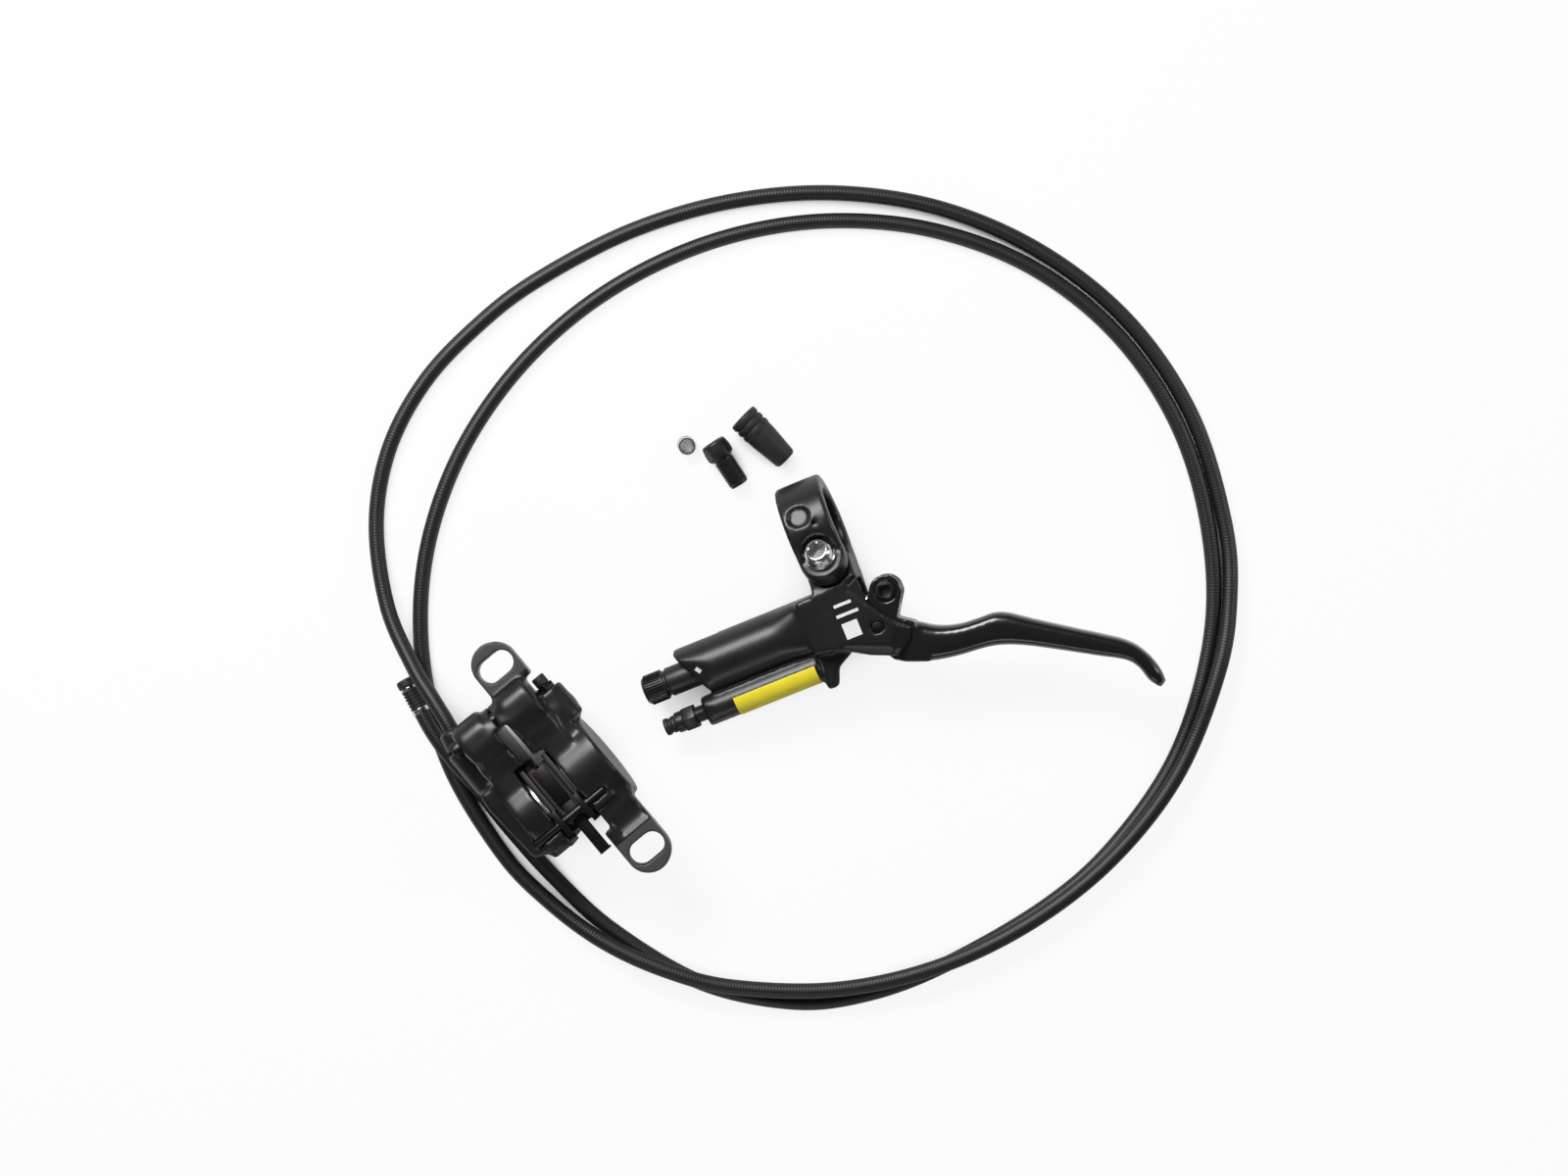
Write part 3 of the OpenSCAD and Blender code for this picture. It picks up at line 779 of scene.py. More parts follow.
class Repeats:
    """A Geometry Nodes tree that sets one shape out round and along its X axis."""

    INPUTS = {
        "Shape": "NodeSocketObject",
        "Count": "NodeSocketInt",
        "Turn": "NodeSocketFloat",
        "Pitch": "NodeSocketFloat",
        "Finish": "NodeSocketMaterial",
    }

    def __init__(self) -> None:
        """Builds the tree."""
        self.tree = bpy.data.node_groups.new("repeats_on_axis", "GeometryNodeTree")
        face = self.tree.interface
        face.new_socket(name="Geometry", in_out="OUTPUT", socket_type="NodeSocketGeometry")
        self.keys = {
            name: face.new_socket(name=name, in_out="INPUT", socket_type=kind).identifier
            for name, kind in self.INPUTS.items()
        }
        given = self._node("NodeGroupInput").outputs
        index = self._node("GeometryNodeInputIndex").outputs[0]
        turned = self._product(index, given["Turn"])
        pushed = self._product(index, given["Pitch"])
        spot = self._node("ShaderNodeCombineXYZ", {0: pushed}).outputs[0]
        angle = self._node("ShaderNodeCombineXYZ", {0: turned}).outputs[0]
        points = self._node("GeometryNodePoints", {"Count": given["Count"], "Position": spot})
        shape = self._node("GeometryNodeObjectInfo", {"Object": given["Shape"]})
        copies = self._node(
            "GeometryNodeInstanceOnPoints",
            {"Points": points.outputs[0], "Instance": shape.outputs["Geometry"], "Rotation": angle},
        )
        real = self._node("GeometryNodeRealizeInstances", {0: copies.outputs[0]})
        painted = self._node(
            "GeometryNodeSetMaterial",
            {"Geometry": real.outputs[0], "Material": given["Finish"]},
        )
        self._node("NodeGroupOutput", {0: painted.outputs[0]})

    def _node(self, kind: str, links: dict[Any, Any] | None = None) -> bpy.types.Node:
        """Adds one node with its inputs linked."""
        node = self.tree.nodes.new(kind)
        for key, socket in (links or {}).items():
            self.tree.links.new(socket, node.inputs[key])
        return node

    def _product(
        self, first: bpy.types.NodeSocket, second: bpy.types.NodeSocket
    ) -> bpy.types.NodeSocket:
        """Two numbers multiplied."""
        node = self._node("ShaderNodeMath", {0: first, 1: second})
        node.operation = "MULTIPLY"
        return node.outputs[0]

    def laid(
        self,
        name: str,
        shape: bpy.types.Object,
        count: int,
        finish: bpy.types.Material,
        frame: Matrix,
        turn: float = 0.0,
        pitch: float = 0.0,
    ) -> bpy.types.Object:
        """Sets copies of a shape out and returns them as one plain mesh.

        Args:
            name: the new piece's name.
            shape: one copy, in a frame's millimetres; it is removed afterwards.
            count: how many copies.
            finish: their material.
            frame: from those millimetres to the row.
            turn: degrees about X from one copy to the next.
            pitch: millimetres along X from one copy to the next.
        Returns:
            the piece.
        """
        piece = new_piece(name, bpy.data.meshes.new(name))
        modifier = piece.modifiers.new("repeats", "NODES")
        modifier.node_group = self.tree
        modifier[self.keys["Shape"]] = shape
        modifier[self.keys["Count"]] = count
        modifier[self.keys["Turn"]] = math.radians(turn)
        modifier[self.keys["Pitch"]] = pitch
        modifier[self.keys["Finish"]] = finish
        bake(piece)
        piece.data.transform(frame)
        bpy.data.objects.remove(shape)
        return piece


IN_PLACE = Matrix.Identity(4)


@dataclass
class Bench:
    """Where finished pieces are dressed and fixed to their bodies."""

    frame: dict[str, Any]
    finishes: Finishes
    repeats: Repeats
    shown: set[str] = field(default_factory=set)

    @property
    def nodes(self) -> dict[str, bpy.types.Object]:
        """The CAD nodes by name."""
        return self.frame["nodes"]

    def show(
        self,
        piece: bpy.types.Object,
        finish: bpy.types.Material,
        slot: Slot,
        body: str = ROOT_BODY,
        replaces: Sequence[str] = (),
    ) -> bpy.types.Object:
        """Dresses a piece, fixes it to its body and hides the CAD nodes that it stands for."""
        piece.data.materials.clear()
        piece.data.materials.append(finish)
        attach(piece, body)
        if replaces:
            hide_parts(*replaces)
            self.shown.update(replaces)
        LOG.info("%s: %d faces on %s", piece.name, len(piece.data.polygons), body)
        return piece

    def machined(
        self,
        node: str,
        width: float,
        finish: bpy.types.Material,
        slot: Slot,
        body: str = ROOT_BODY,
    ) -> bpy.types.Object:
        """A CAD node's copy with broken edges, dressed and shown in its place."""
        piece = crisp(copied(f"{node}_finished", self.nodes, node), width)
        return self.show(piece, finish, slot, body, [node])

    def dress_the_rest(self) -> None:
        """Gives each CAD node that still shows its finish."""
        finish_of = self.finishes.by_slot()
        slots = {s["node"]: s["material_slot"] for s in self.frame["record"]["subparts"]}
        for name, node in self.nodes.items():
            if name in self.shown:
                continue
            node.data.materials.clear()
            node.data.materials.append(finish_of[slots[name]])
            LOG.info("%s: kept from the CAD", name)


@dataclass
class LeverEnd:
    """The lever: its casting, blade, clamp bolt, plug, switch and what works inside."""

    bench: Bench
    voxel: float = 0.52
    ease_passes: int = 34
    blade_voxel: float = 0.42
    blade_depth: float = 5.5
    blade_middle: float = 1.5
    blade_root: float = 19.0
    blade_stations: int = 4
    cylinder_y: float = -27.8
    cylinder_z: float = 1.5
    sensor_y: float = -40.9
    guard_top: float = 11.0
    pivot: Point2 = (7.75, -35.8)
    recess_lean: float = -19.5
    recess_x: float = -1.8
    bolt_lean: float = -30.0
    bolt_y: float = -14.56
    upper_edge: tuple[Point2, ...] = (
        (12.0, -36.4), (18.2, -38.4), (24.5, -42.4), (31.0, -44.6), (37.5, -45.2), (42.5, -45.4),
        (46.8, -47.0), (53.3, -51.6), (60.0, -56.2), (66.2, -60.4), (72.3, -64.5), (77.2, -68.0),
        (80.7, -71.6), (83.2, -76.2), (84.6, -81.0), (84.9, -85.0),
    )
    lower_edge: tuple[Point2, ...] = (
        (9.6, -46.3), (13.5, -50.2), (20.5, -52.7), (28.0, -54.0), (34.0, -54.5), (38.5, -55.1),
        (43.0, -56.4), (49.0, -59.1), (56.5, -63.3), (63.0, -67.1), (69.0, -70.6), (74.0, -73.4),
        (77.0, -75.8), (78.8, -78.9), (80.0, -83.0), (82.3, -86.6),
    )

    def on_cylinder(self) -> Matrix:
        """The frame of the master cylinder's axis."""
        return LEVER_FRAME @ Matrix.Translation((0, self.cylinder_y, self.cylinder_z))

    def on_sensor(self) -> Matrix:
        """The frame of the switch tube's axis."""
        return LEVER_FRAME @ Matrix.Translation((0, self.sensor_y, self.cylinder_z))

    def end_facet(self) -> Matrix:
        """The frame of the slanting facet at the cylinder's port end, its Z out of the facet."""
        top = Matrix.Translation((-46.5, self.cylinder_y, self.cylinder_z + 9.0))
        turn = Matrix.Rotation(math.radians(-56), 4, "Z")
        return LEVER_FRAME @ top @ turn @ Matrix.Rotation(math.radians(20), 4, "X")

    def guard_facet(self, start: Point2, end: Point2, slope: float) -> bpy.types.Object:
        """What is planed off the guard's upper face to the right of a line.

        Args:
            start: where the line begins on the guard's upper face.
            end: where it ends.
            slope: how steeply the facet falls away, in degrees.
        Returns:
            the block to take off.
        """
        along = Vector(end) - Vector(start)
        turn = Matrix.Rotation(math.atan2(along.y, along.x), 4, "Z")
        place = Matrix.Translation((start[0], start[1], self.guard_top)) @ turn
        frame = LEVER_FRAME @ place @ Matrix.Rotation(math.radians(slope), 4, "X")
        return box_between("facet", (-1.5, -14.0, 0.0), (along.length + 1.5, 0.0, 14.0), frame)

    def shoulder(self) -> bpy.types.Object:
        """The blend from the round cylinder into the square guard, to be melted in."""
        around = 36
        rings = 9
        start = -27
        length = 16
        half_width = 8.8
        points: list[Point3] = []
        for i in range(rings):
            t = i / (rings - 1)
            grown = t * t * (3 - 2 * t)
            for c, d in squarish(1.0 - 0.6 * grown, around):
                across = c * half_width
                deep = d * (8.9 + 0.25 * grown)
                points.append((start + length * t, self.cylinder_y + across, self.cylinder_z + deep))
        return lofted("shoulder", points, around, LEVER_FRAME)

    def recess_frame(self) -> Matrix:
        """The frame of the clamp's plain round recess, its X out of the clamp."""
        lean = Matrix.Rotation(math.radians(self.recess_lean), 4, "X")
        upright = Matrix.Rotation(math.radians(-90), 4, "Y")
        return LEVER_FRAME @ lean @ Matrix.Translation((self.recess_x, 0, 0)) @ upright

    def casting(self) -> None:
        """The cast body with its facets and fillets."""
        local = LEVER_FRAME.inverted()
        recess = local @ (self.recess_frame() @ Vector((15.6, 0, 0)))

        def softness(point: Vector) -> float:
            """Full on the clamp's ring, less on the cylinder and guard, least round the holes."""
            spot = local @ point
            near_hole = math.hypot(spot.x - self.pivot[0], spot.y - self.pivot[1])
            if near_hole < 4.0 or (spot - recess).length < 5.0:
                return 0.12
            if spot.y > -17:
                return 1.0
            return 0.3 if spot.x > -8 else 0.8

        piece = copied("lever_casting", self.bench.nodes, "lever_body")
        disc = [(15.1, 0), (15.1, 3.5), (19.0, 3.5), (19.0, 0)]
        tools = [
            self.guard_facet((13.5, -36.6), (3.6, -22.2), 32.0),
            self.guard_facet((9.5, -42.8), (13.5, -36.6), 26.0),
            self.guard_facet((-3.1, -37.6), (9.5, -42.8), 32.0),
            box_between("facet", (-30, -30, 0), (30, 30, 20), self.end_facet()),
            lathed("recess", disc, self.recess_frame()),
        ]
        piece = joined("lever_casting", [carved(piece, tools), self.shoulder()])
        melted(piece, self.voxel, self.ease_passes, softness)
        self.bench.show(piece, self.bench.finishes.cast, Slot.SATIN_BLACK, replaces=["lever_body"])

    def blade_shell(self) -> bpy.types.Object:
        """The finger blade: a rounded bar lofted between its two edges."""
        upper = catmull([Vector(p) for p in self.upper_edge], self.blade_stations)
        lower = catmull([Vector(p) for p in self.lower_edge], self.blade_stations)
        around = 28
        section = squarish(0.62, around)
        tip_stations = 5
        tip_length = 5.4
        points: list[Point3] = []
        last = len(upper) - 1
        for i, (high, low) in enumerate(zip(upper, lower)):
            middle = (high + low) / 2
            reach = (high - low) / 2
            beyond = max(0.0, (i - last + tip_stations) / tip_length)
            ending = math.sqrt(1.0 - beyond**2)
            for c, d in section:
                spot = middle + reach * (c * (0.75 + 0.25 * ending))
                points.append((spot.x, spot.y, self.blade_middle + self.blade_depth * (d * ending)))
        return lofted("blade_bar", points, around, LEVER_FRAME)

    def blade_root_block(self) -> bpy.types.Object:
        """The fork and pivot eye, cut from the CAD blade."""
        piece = copied("blade_fork", self.bench.nodes, "lever_blade")
        shell = bmesh.new()
        shell.from_mesh(piece.data)
        cut = bmesh.ops.bisect_plane(
            shell,
            geom=[*shell.verts, *shell.edges, *shell.faces],
            plane_co=LEVER_FRAME @ Vector((self.blade_root, 0, 0)),
            plane_no=LEVER_FRAME.to_3x3() @ Vector((1, 0, 0)),
            clear_outer=True,
        )
        rim = [e for e in cut["geom_cut"] if isinstance(e, bmesh.types.BMEdge)]
        bmesh.ops.holes_fill(shell, edges=rim)
        bmesh.ops.triangulate(shell, faces=shell.faces)
        shell.to_mesh(piece.data)
        shell.free()
        return piece

    def blade(self) -> None:
        """The whole blade in one skin, moving with the lever."""
        local = LEVER_FRAME.inverted()

        def softness(point: Vector) -> float:
            """The fork keeps its edges, and the finger bar is eased."""
            return 0.5 if (local @ point).x < 18 and (local @ point).y > -38 else 1.0

        piece = joined("brake_blade", [self.blade_shell(), self.blade_root_block()])
        melted(piece, self.blade_voxel, 8, softness)
        finishes = self.bench.finishes
        self.bench.show(piece, finishes.gloss, Slot.GLOSS_BLACK, "lever", ["lever_blade"])

    def plug(self) -> None:
        """The knurled plug in the hose port."""
        place = self.on_cylinder()
        profile = [(-70.3, 0), (-70.3, 4.1), (-69.5, 4.5), (-63.2, 4.5), (-63.0, 4.1),
                   (-62.2, 4.1), (-62.0, 4.7), (-51.3, 4.7), (-51.3, 3.95), (-46.6, 3.95),
                   (-46.6, 0)]
        core = lathed("plug_core", rounded(profile, 0.4), place)
        rib = from_points(
            "plug_rib",
            [(x, y, z) for x in (-69.3, -63.6) for y, z in ((-0.3, 4.3), (0.3, 4.3), (0, 4.97))],
            [(0, 1, 2), (3, 5, 4), (0, 3, 4, 1), (1, 4, 5, 2), (2, 5, 3, 0)],
            IN_PLACE,
        )
        plastic = self.bench.finishes.plastic
        ribs = self.bench.repeats.laid("plug_ribs", rib, 36, plastic, place, turn=10.0)
        piece = sharpened(joined("port_plug_moulding", [core, ribs]), 35.0)
        self.bench.show(piece, plastic, Slot.RUBBER, replaces=["port_plug"])

    def switch(self) -> None:
        """The brake switch at the end of its tube: collar, lock nut and cap."""
        finishes = self.bench.finishes
        place = self.on_sensor()
        body = [(-64.6, 0), (-64.6, 3.35), (-61.95, 3.35), (-61.95, 2.5), (-54.6, 2.5),
                (-54.6, 2.96), (-17, 2.96), (-17, 0)]
        thread = lathed(
            "switch_thread_ring",
            [(-57.6, 2.3), (-57.4, 2.72), (-57.2, 2.3)],
            IN_PLACE,
            40,
        )
        threads = self.bench.repeats.laid(
            "switch_threads", thread, 5, finishes.plastic, place, pitch=0.6
        )
        shell = lathed("switch_body_core", rounded(body, 0.3), place)
        piece = sharpened(joined("switch_body", [shell, threads]), 35.0)
        self.bench.show(piece, finishes.plastic, Slot.RUBBER, replaces=["sensor_body"])
        cap = [(-68.7, 0), (-68.7, 2.8), (-67.3, 2.8), (-67.1, 2.4), (-66.3, 2.4), (-66.1, 2.75),
               (-64.6, 2.75), (-64.6, 0)]
        piece = lathed("switch_cap", rounded(cap, 0.45), place)
        self.bench.show(piece, finishes.rubber, Slot.RUBBER, replaces=["sensor_cap"])
        self.bench.machined("sensor_lock_nut", 0.25, finishes.plastic, Slot.SATIN_BLACK)

    def clamp_bolt(self) -> None:
        """The chromed bolt of the bar clamp, with its flange, tapered head and hexagon socket."""
        lean = Matrix.Rotation(math.radians(self.bolt_lean), 4, "X")
        upright = Matrix.Rotation(math.radians(-90), 4, "Y")
        place = LEVER_FRAME @ lean @ Matrix.Translation((0, self.bolt_y, 0)) @ upright
        shape = [(-11.5, 0), (-11.5, 2.95), (7.5, 2.95), (7.5, 5.0), (8.7, 5.0), (9.0, 4.6),
                 (11.6, 4.3), (12.6, 3.5), (12.6, 0)]
        piece = lathed("chrome_clamp_bolt", rounded(shape, 0.35), place, 72)
        socket = lathed("socket", [(9.2, 0), (9.2, 2.75), (14.0, 2.75), (14.0, 0)], place, 6)
        mouth = lathed("mouth", [(12.0, 0), (12.0, 2.5), (13.2, 3.4), (13.2, 0)], place, 48)
        sharpened(carved(piece, [socket, mouth]), 32.0)
        finishes = self.bench.finishes
        self.bench.show(piece, finishes.steel, Slot.STEEL, replaces=["clamp_bolt"])

    def marks(self) -> None:
        """Plain pale bars where the body is printed."""
        top = self.guard_top
        bars = [
            box_between("bar", (-2.6, -25.6, top + 0.01), (3.2, -24.6, top + 0.1), LEVER_FRAME),
            box_between("bar", (-3.0, -28.9, top + 0.01), (4.4, -27.9, top + 0.1), LEVER_FRAME),
            box_between("bar", (-2.4, -36.2, top + 0.01), (2.8, -31.0, top + 0.1), LEVER_FRAME),
            box_between("bar", (-3.4, -4.0, 0.01), (-1.4, -2.6, 0.1), self.end_facet()),
        ]
        piece = joined("printed_marks", bars)
        self.bench.show(piece, self.bench.finishes.ink, Slot.INK, replaces=["body_marks"])

    def small_pieces(self) -> None:
        """Pins, cover, screws and label."""
        finishes = self.bench.finishes
        for node in ("pivot_clip", "reservoir_screws", "lever_bleed_screw", "piston_ring"):
            self.bench.machined(node, 0.08, finishes.steel, Slot.STEEL)
        self.bench.machined("pivot_pin", 0.2, finishes.black_steel, Slot.STEEL)
        self.bench.machined("reservoir_cover", 0.6, finishes.cast, Slot.SATIN_BLACK)
        self.bench.machined("barrel_pin", 0.3, finishes.black_steel, Slot.ALUMINIUM, "pushrod")
        self.bench.machined("pushrod", 0.1, finishes.steel, Slot.STEEL, "pushrod")
        self.bench.machined(
            "master_piston", 0.15, finishes.aluminium, Slot.ALUMINIUM, "master_piston"
        )
        self.bench.machined("tube_sticker", 0.03, finishes.label, Slot.LABEL)

    def build(self) -> None:
        """Builds the lever end."""
        self.casting()
        self.blade()
        self.plug()
        self.switch()
        self.clamp_bolt()
        self.marks()
        self.small_pieces()


@dataclass
class CaliperEnd:
    """The caliper: two cast halves, the pads and pistons between them, and its screws."""

    bench: Bench
    voxel: float = 0.5
    ease_passes: int = 36
    ear_from: float = 28.5
    split: float = -10.6

    def softness(self, point: Vector) -> float:
        """The ears and the pad pocket stay crisp, and the cast body is eased."""
        spot = CALIPER_FRAME.inverted() @ point
        if abs(spot.x) > self.ear_from and spot.z > 20:
            return 0.2
        if -22 < spot.x and abs(spot.y - self.split) < 7.5:
            return 0.3
        return 1.0

    def ridge(self, u: float, w: float, radius: float, low: float, high: float) -> bpy.types.Object:
        """A round ridge that runs across a half.

        Args:
            u: its place along the caliper.
            w: the height of its axis.
            radius: its radius.
            low: where it begins across the caliper.
            high: where it ends.
        Returns:
            the ridge, to be melted into the half.
        """
        turn = Matrix.Rotation(math.radians(90), 4, "Z")
        place = CALIPER_FRAME @ Matrix.Translation((u, 0, w)) @ turn
        shape = rounded([(low, 0), (low, radius), (high, radius), (high, 0)], 2.5, 6)
        return lathed("ridge", shape, place, 48)

    def halves(self) -> None:
        """Both cast halves with their ridges and fillets."""
        halves = (
            ("caliper_mount_half", "mount_side_casting", self.split + 2.4, 4.4),
            ("caliper_outer_half", "outer_side_casting", -24.8, self.split - 2.4),
        )
        for node, name, low, high in halves:
            parts = [
                copied("blank", self.bench.nodes, node),
                self.ridge(-23.4, 27.6, 7.2, low, high),
                self.ridge(-13.6, 28.0, 5.0, low, high),
            ]
            if node == "caliper_mount_half":
                parts.append(ball((-14.0, 5.2, 24.0), (8.2, 7.4, 6.6), CALIPER_FRAME))
            piece = melted(joined(name, parts), self.voxel, self.ease_passes, self.softness)
            cast = self.bench.finishes.cast
            self.bench.show(piece, cast, Slot.SATIN_BLACK, replaces=[node])

    def pads(self) -> None:
        """Pad plates, linings and pistons, each side moving with its own body."""
        finishes = self.bench.finishes
        for side in ("left", "right"):
            body = f"{side}_pad"
            self.bench.machined(f"pad_plate_{side}", 0.25, finishes.black_steel, Slot.STEEL, body)
            self.bench.machined(f"pad_lining_{side}", 0.3, finishes.lining, Slot.LINING, body)
            self.bench.machined(f"piston_{side}", 0.3, finishes.aluminium, Slot.ALUMINIUM, body)

    def small_pieces(self) -> None:
        """Spring, pin, bolts, bleed screw and hose gland."""
        finishes = self.bench.finishes
        leaves = [
            box_between("leaf", (-4, -12.9, 28), (10, -8.3, 28.5), CALIPER_FRAME),
            box_between("leaf", (10, -12.3, 28.05), (29.5, -8.5, 28.5), CALIPER_FRAME),
            box_between("leaf", (28.9, -12.3, 24), (29.5, -8.5, 28.2), CALIPER_FRAME),
        ]
        spring = crisp(joined("pad_leaf_spring", leaves), 0.12)
        self.bench.show(spring, finishes.black_steel, Slot.STEEL, replaces=["pad_spring"])
        # Painted shade: the steel pad pin is given the dark black-steel finish, because it lies in
        # the shade of the pad pocket.
        self.bench.machined("pad_pin", 0.2, finishes.black_steel, Slot.STEEL)
        self.bench.machined("caliper_body_bolts", 0.25, finishes.black_steel, Slot.STEEL)
        self.bench.machined("caliper_bleed_screw", 0.2, finishes.black_steel, Slot.STEEL)
        self.bench.machined("bleed_cap", 0.4, finishes.rubber, Slot.RUBBER)
        self.bench.machined("hose_gland_nut", 0.35, finishes.plastic, Slot.RUBBER)

    def build(self) -> None:
        """Builds the caliper end."""
        self.halves()
        self.pads()
        self.small_pieces()


@dataclass
class HoseLine:
    """The hose from the caliper's gland to its free end, in two loops on the floor."""

    bench: Bench
    diameter: float = 5.0
    sides: int = 20
    ring_gap: float = 2.4
    loop_centre: Point3 = (-1.5, 13.3, 0.0)
    route: tuple[Point3, ...] = (
        (118.2, 205, 17), (118.6, 202.5, 17), (119.3, 199.5, 16.8), (122, 195, 14.5),
        (126.2, 190, 10.5), (133.5, 181, 5.2), (139.5, 170, 2.7), (141.8, 160, 2.5),
        (140.5, 150, 2.5), (137, 140, 2.5), (133.9, 130, 2.5), (131, 115, 2.5), (130.4, 100, 2.5),
        (131.6, 85, 2.5), (133.9, 70, 2.5), (136.2, 55, 2.5), (138.4, 40, 2.5), (139.2, 25, 2.5),
        (138.8, 10, 2.6), (138, 0, 4.3), (136, -10, 6.8), (133.2, -25, 7.6), (129.9, -40, 7.7),
        (127.2, -55, 7.7), (126, -70, 7.7), (125.9, -85, 7.7), (126.6, -100, 7.7),
        (127, -110, 7.7), (127.4, -120, 6), (127.2, -130, 3.4), (126.8, -140, 2.5),
        (125.8, -155, 2.5), (124.1, -170, 2.5), (122.4, -185, 2.5), (120.3, -200, 2.5),
        (118.4, -215, 2.5), (117.5, -230, 2.5), (117.8, -245, 2.5), (119.6, -260, 2.5),
        (122.6, -275, 2.5), (126.5, -290, 2.5), (130.4, -305, 2.5), (132.9, -320, 2.5),
        (133.8, -335, 2.5), (133.3, -350, 2.5), (132.8, -365, 2.5), (131.2, -382, 2.5),
        (128.7, -398, 2.5), (126.8, -412, 2.5), (127.2, -430, 2.5), (129.6, -442, 2.5),
        (130.2, -452, 2.5), (128, -465, 2.5), (123.1, -480, 2.5), (120.2, -492, 2.5),
        (119.8, -502, 2.6), (120.6, -508.5, 3.8), (122.4, -513, 6.4), (124.4, -517, 7.7),
        (126.2, -520.5, 7.7), (127.4, -523.3, 7.3),
    )

    def way(self) -> list[Vector]:
        """The route's own points in millimetres in the row."""
        middle = Vector(self.loop_centre) + Vector(ORIGIN_SHIFT)
        spots = []
        for radius, angle, height in self.route:
            turned = math.radians(angle)
            arm = Vector((radius * math.cos(turned), radius * math.sin(turned), height))
            spots.append(middle + arm)
        return spots

    def line(self) -> list[Vector]:
        """The hose's centreline in metres, in even short steps."""
        dense = catmull(self.way(), 24)
        even = [dense[0]]
        for spot in dense[1:-1]:
            if (spot - even[-1]).length >= self.ring_gap:
                even.append(spot)
        even.append(dense[-1])
        return [spot * MM for spot in even]

    def tube(self, line: Sequence[Vector]) -> bpy.types.Object:
        """A round tube along a line, with a map of U along it in millimetres and V round it."""
        points: list[Vector] = []
        lengths = [0.0]
        last = len(line) - 1
        for i, spot in enumerate(line):
            if i:
                lengths.append(lengths[-1] + (spot - line[i - 1]).length / MM)
            ahead = (line[min(i + 1, last)] - line[max(i - 1, 0)]).normalized()
            side = ahead.cross(Vector((0, 0, 1))).normalized()
            up = side.cross(ahead)
            for k in range(self.sides):
                angle = math.tau * k / self.sides
                arm = side * math.cos(angle) + up * math.sin(angle)
                points.append(spot + arm * (self.diameter / 2 * MM))
        faces = ring_faces(len(line), self.sides)
        maps = []
        for i in range(last):
            for k in range(self.sides):
                near, far = k / self.sides, (k + 1) / self.sides
                maps += [(lengths[i], near), (lengths[i], far),
                         (lengths[i + 1], far), (lengths[i + 1], near)]
        for start in (0, last * self.sides):
            faces.append(list(range(start, start + self.sides)))
            maps += [(0.0, 0.0)] * self.sides
        mesh = bpy.data.meshes.new("brake_hose_jacket")
        mesh.from_pydata(points, [], faces)
        layer = mesh.uv_layers.new(name="along_hose")
        for loop, spot in zip(layer.data, maps):
            loop.uv = spot
        shell = bmesh.new()
        shell.from_mesh(mesh)
        bmesh.ops.recalc_face_normals(shell, faces=shell.faces)
        shell.to_mesh(mesh)
        shell.free()
        mesh.shade_smooth()
        return new_piece("brake_hose_jacket", mesh)

    def tip_frame(self) -> Matrix:
        """The frame of the hose's free end, its X running out of it, in millimetres."""
        before, end = self.way()[-2:]
        turned = (end - before).to_track_quat("X", "Z").to_matrix().to_4x4()
        return Matrix.Translation(end * MM) @ turned @ Matrix.Scale(MM, 4)

    def end_fittings(self) -> list[bpy.types.Object]:
        """Bands, ribbed sleeve and cap on the free end."""
        finishes = self.bench.finishes
        place = self.tip_frame()
        band = rounded([(0.05, 2.3), (0.05, 2.8), (1.55, 2.8), (1.55, 2.3)], 0.2)
        thin = rounded([(8.4, 2.0), (8.4, 2.75), (9.3, 2.75), (9.3, 2.0)], 0.15)
        bands = joined(
            "hose_crimp_bands",
            [lathed("wide_band", band, place), lathed("thin_band", thin, place)],
        )
        bands.data.shade_smooth()
        sharpened(bands, 35.0)
        self.bench.show(bands, finishes.steel, Slot.STEEL, replaces=["hose_bands"])
        core = lathed("sleeve_core", [(1.55, 0), (1.55, 2.35), (8.4, 2.35), (8.4, 0)], place)
        ring = lathed("sleeve_ring", [(1.8, 2.3), (2.0, 2.7), (2.5, 2.7), (2.7, 2.3)], IN_PLACE, 48)
        rings = self.bench.repeats.laid("sleeve_rings", ring, 6, finishes.rubber, place, pitch=1.15)
        sleeve = sharpened(joined("hose_end_sleeve", [core, rings]), 35.0)
        self.bench.show(sleeve, finishes.rubber, Slot.RUBBER, replaces=["hose_sleeve"])
        shape = [(9.3, 0), (9.3, 2.9), (12.1, 2.9), (12.1, 0)]
        cap = lathed("hose_tip_cap", rounded(shape, 0.7, 5), place)
        self.bench.show(cap, finishes.rubber, Slot.RUBBER, replaces=["hose_end_cap"])
        return [bands, sleeve, cap]

    def build(self) -> None:
        line = self.line()
        hose = self.tube(line)
        self.bench.show(hose, self.bench.finishes.hose, Slot.HOSE, replaces=["brake_hose"])
        fittings = self.end_fittings()
        length = sum((b - a).length for a, b in zip(line, line[1:]))
        LOG.info("hose length %.3f m", length)


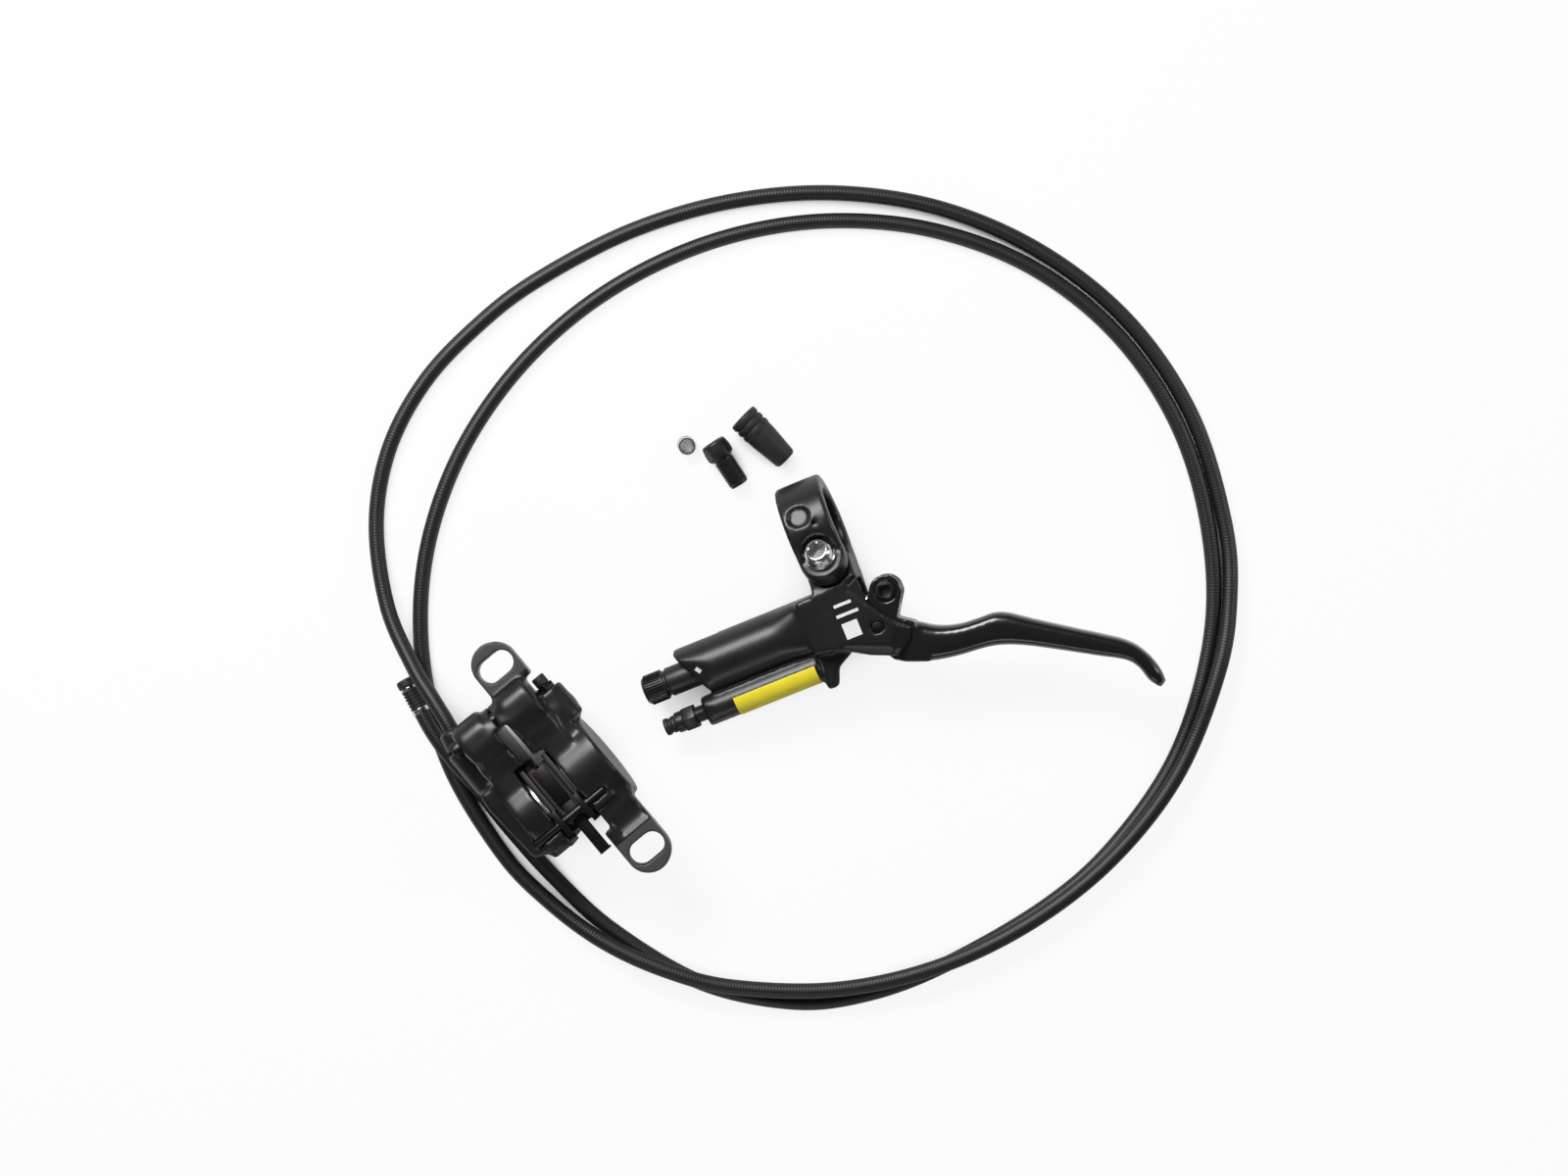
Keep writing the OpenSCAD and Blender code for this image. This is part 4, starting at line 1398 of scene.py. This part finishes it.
@dataclass
class LooseFittings:
    """The olive, the compression nut and the rubber boot that lie beside the lever."""

    bench: Bench
    olive_frame: Matrix = field(default_factory=lambda: placed((-38.7, 62.9, 2.35), -57.0, -78.0))
    nut_frame: Matrix = field(default_factory=lambda: placed((-30.3, 63.7, 5.12), -56.6, 6.1))
    boot_frame: Matrix = field(default_factory=lambda: placed((-20.6, 71.9, 5.7), -44.0, 5.8))

    def olive(self) -> None:
        """The silver ring with its groove."""
        shape = [(-2.3, 2.2), (-2.3, 2.7), (-2.0, 2.9), (0.3, 2.9), (0.5, 2.7), (0.9, 2.7),
                 (1.1, 2.9), (1.9, 2.9), (2.3, 2.7), (2.3, 2.2)]
        piece = lathed("silver_olive", shape, self.olive_frame)
        finishes = self.bench.finishes
        self.bench.show(piece, finishes.steel, Slot.STEEL, replaces=["loose_olive"])

    def nut(self) -> None:
        """The black nut: a rounded hexagon head on a threaded shank."""
        finishes = self.bench.finishes
        shape = [(0, 2.6), (0, 3.6), (0.5, 4.1), (3.0, 4.5), (5.2, 4.4), (6.0, 3.6), (6.2, 3.05),
                 (15.9, 3.05), (16.3, 2.7), (16.3, 2.6)]
        blank = lathed("nut_blank", rounded(shape, 0.3), self.nut_frame)
        flats = [
            box_between(
                "flat",
                (0.8, 3.95, -5.0),
                (5.2, 6.0, 5.0),
                self.nut_frame @ Matrix.Rotation(math.radians(30 + 60 * k), 4, "X"),
            )
            for k in range(6)
        ]
        sharpened(carved(blank, flats), 30.0)
        ring = lathed("nut_thread", [(6.9, 3.0), (7.2, 3.42), (7.3, 3.42), (7.6, 3.0)], IN_PLACE, 40)
        threads = self.bench.repeats.laid(
            "nut_threads", ring, 11, finishes.plastic, self.nut_frame, pitch=0.78
        )
        piece = sharpened(joined("black_compression_nut", [blank, threads]), 38.0)
        self.bench.show(
            piece, finishes.plastic, Slot.SATIN_BLACK, replaces=["loose_compression_nut"]
        )

    def boot(self) -> None:
        """The black boot: ribbed mouth, long taper, bore right through."""
        shape = [(0, 3.6), (0, 4.7), (0.4, 5.0), (2.0, 5.0), (2.2, 4.6), (2.7, 4.6), (2.9, 5.0),
                 (4.4, 5.0), (4.6, 4.6), (5.1, 4.6), (5.3, 5.0), (6.8, 5.0), (7.1, 4.75),
                 (9.5, 4.7), (19.0, 3.8), (19.8, 3.2), (19.8, 2.6), (11.2, 2.55), (11.0, 3.6)]
        piece = lathed("rubber_boot", rounded(shape, 0.25), self.boot_frame, 80)
        finishes = self.bench.finishes
        self.bench.show(piece, finishes.rubber, Slot.RUBBER, replaces=["loose_boot"])

    def build(self) -> None:
        """Builds the three fittings."""
        self.olive()
        self.nut()
        self.boot()


@dataclass
class Studio:
    """The camera, the floor and the lights."""

    eye: Point3 = (-5.55, 15.39, 900.0)
    lens: float = 63.8
    film_width: float = 36.0
    sky: float = 0.1
    half_floor: float = 2.5

    def camera(self) -> None:
        """A camera that looks straight down, its top towards +Y."""
        data = bpy.data.cameras.new("overhead")
        data.sensor_width = self.film_width
        data.lens = self.lens
        data.clip_start = 0.01
        camera = bpy.data.objects.new("overhead", data)
        camera.location = Vector(self.eye) * MM
        bpy.context.scene.collection.objects.link(camera)
        bpy.context.scene.camera = camera

    def floor(self, paper: bpy.types.Material) -> None:
        """A wide sheet of white paper."""
        half = self.half_floor
        mesh = bpy.data.meshes.new("paper_floor")
        mesh.from_pydata(
            [(-half, -half, 0), (half, -half, 0), (half, half, 0), (-half, half, 0)],
            [],
            [(0, 1, 2, 3)],
        )
        mesh.materials.append(paper)
        new_piece("paper_floor", mesh)

    def lamp(self, name: str, spot: Point3, size: Point2, watts: float) -> None:
        """A soft box that faces the brake."""
        aim = Vector((0, 0, 0.01))
        data = bpy.data.lights.new(name, "AREA")
        data.shape = "RECTANGLE"
        data.size, data.size_y = size
        data.energy = watts
        lamp = bpy.data.objects.new(name, data)
        lamp.location = spot
        lamp.rotation_euler = (aim - Vector(spot)).to_track_quat("-Z", "Y").to_euler()
        bpy.context.scene.collection.objects.link(lamp)

    def world(self) -> None:
        """An even pale sky."""
        world = bpy.data.worlds.new("pale_room")
        world.use_nodes = True
        back = world.node_tree.nodes["Background"]
        back.inputs["Color"].default_value = (1.0, 1.0, 1.0, 1.0)
        back.inputs["Strength"].default_value = self.sky
        bpy.context.scene.world = world

    def build(self, paper: bpy.types.Material) -> None:
        """Sets the studio up."""
        bpy.context.scene.view_settings.view_transform = "Standard"
        self.camera()
        self.floor(paper)
        self.world()
        self.lamp("key_box", (-0.4, 0.55, 0.75), (0.55, 0.4), 10.5)
        self.lamp("side_box", (0.85, 0.3, 0.5), (0.25, 0.5), 2.2)
        self.lamp("low_fill", (-0.1, -0.9, 0.5), (0.7, 0.25), 1.2)


def main() -> None:
    """Builds every piece in order."""
    logging.basicConfig(level=logging.INFO, format="%(name)s: %(message)s")
    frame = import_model()
    finishes = Finishes()
    Studio().build(finishes.paper)
    bench = Bench(frame, finishes, Repeats())
    HoseLine(bench).build()
    LeverEnd(bench).build()
    CaliperEnd(bench).build()
    LooseFittings(bench).build()
    bench.dress_the_rest()


if __name__ == "__main__":
    main()
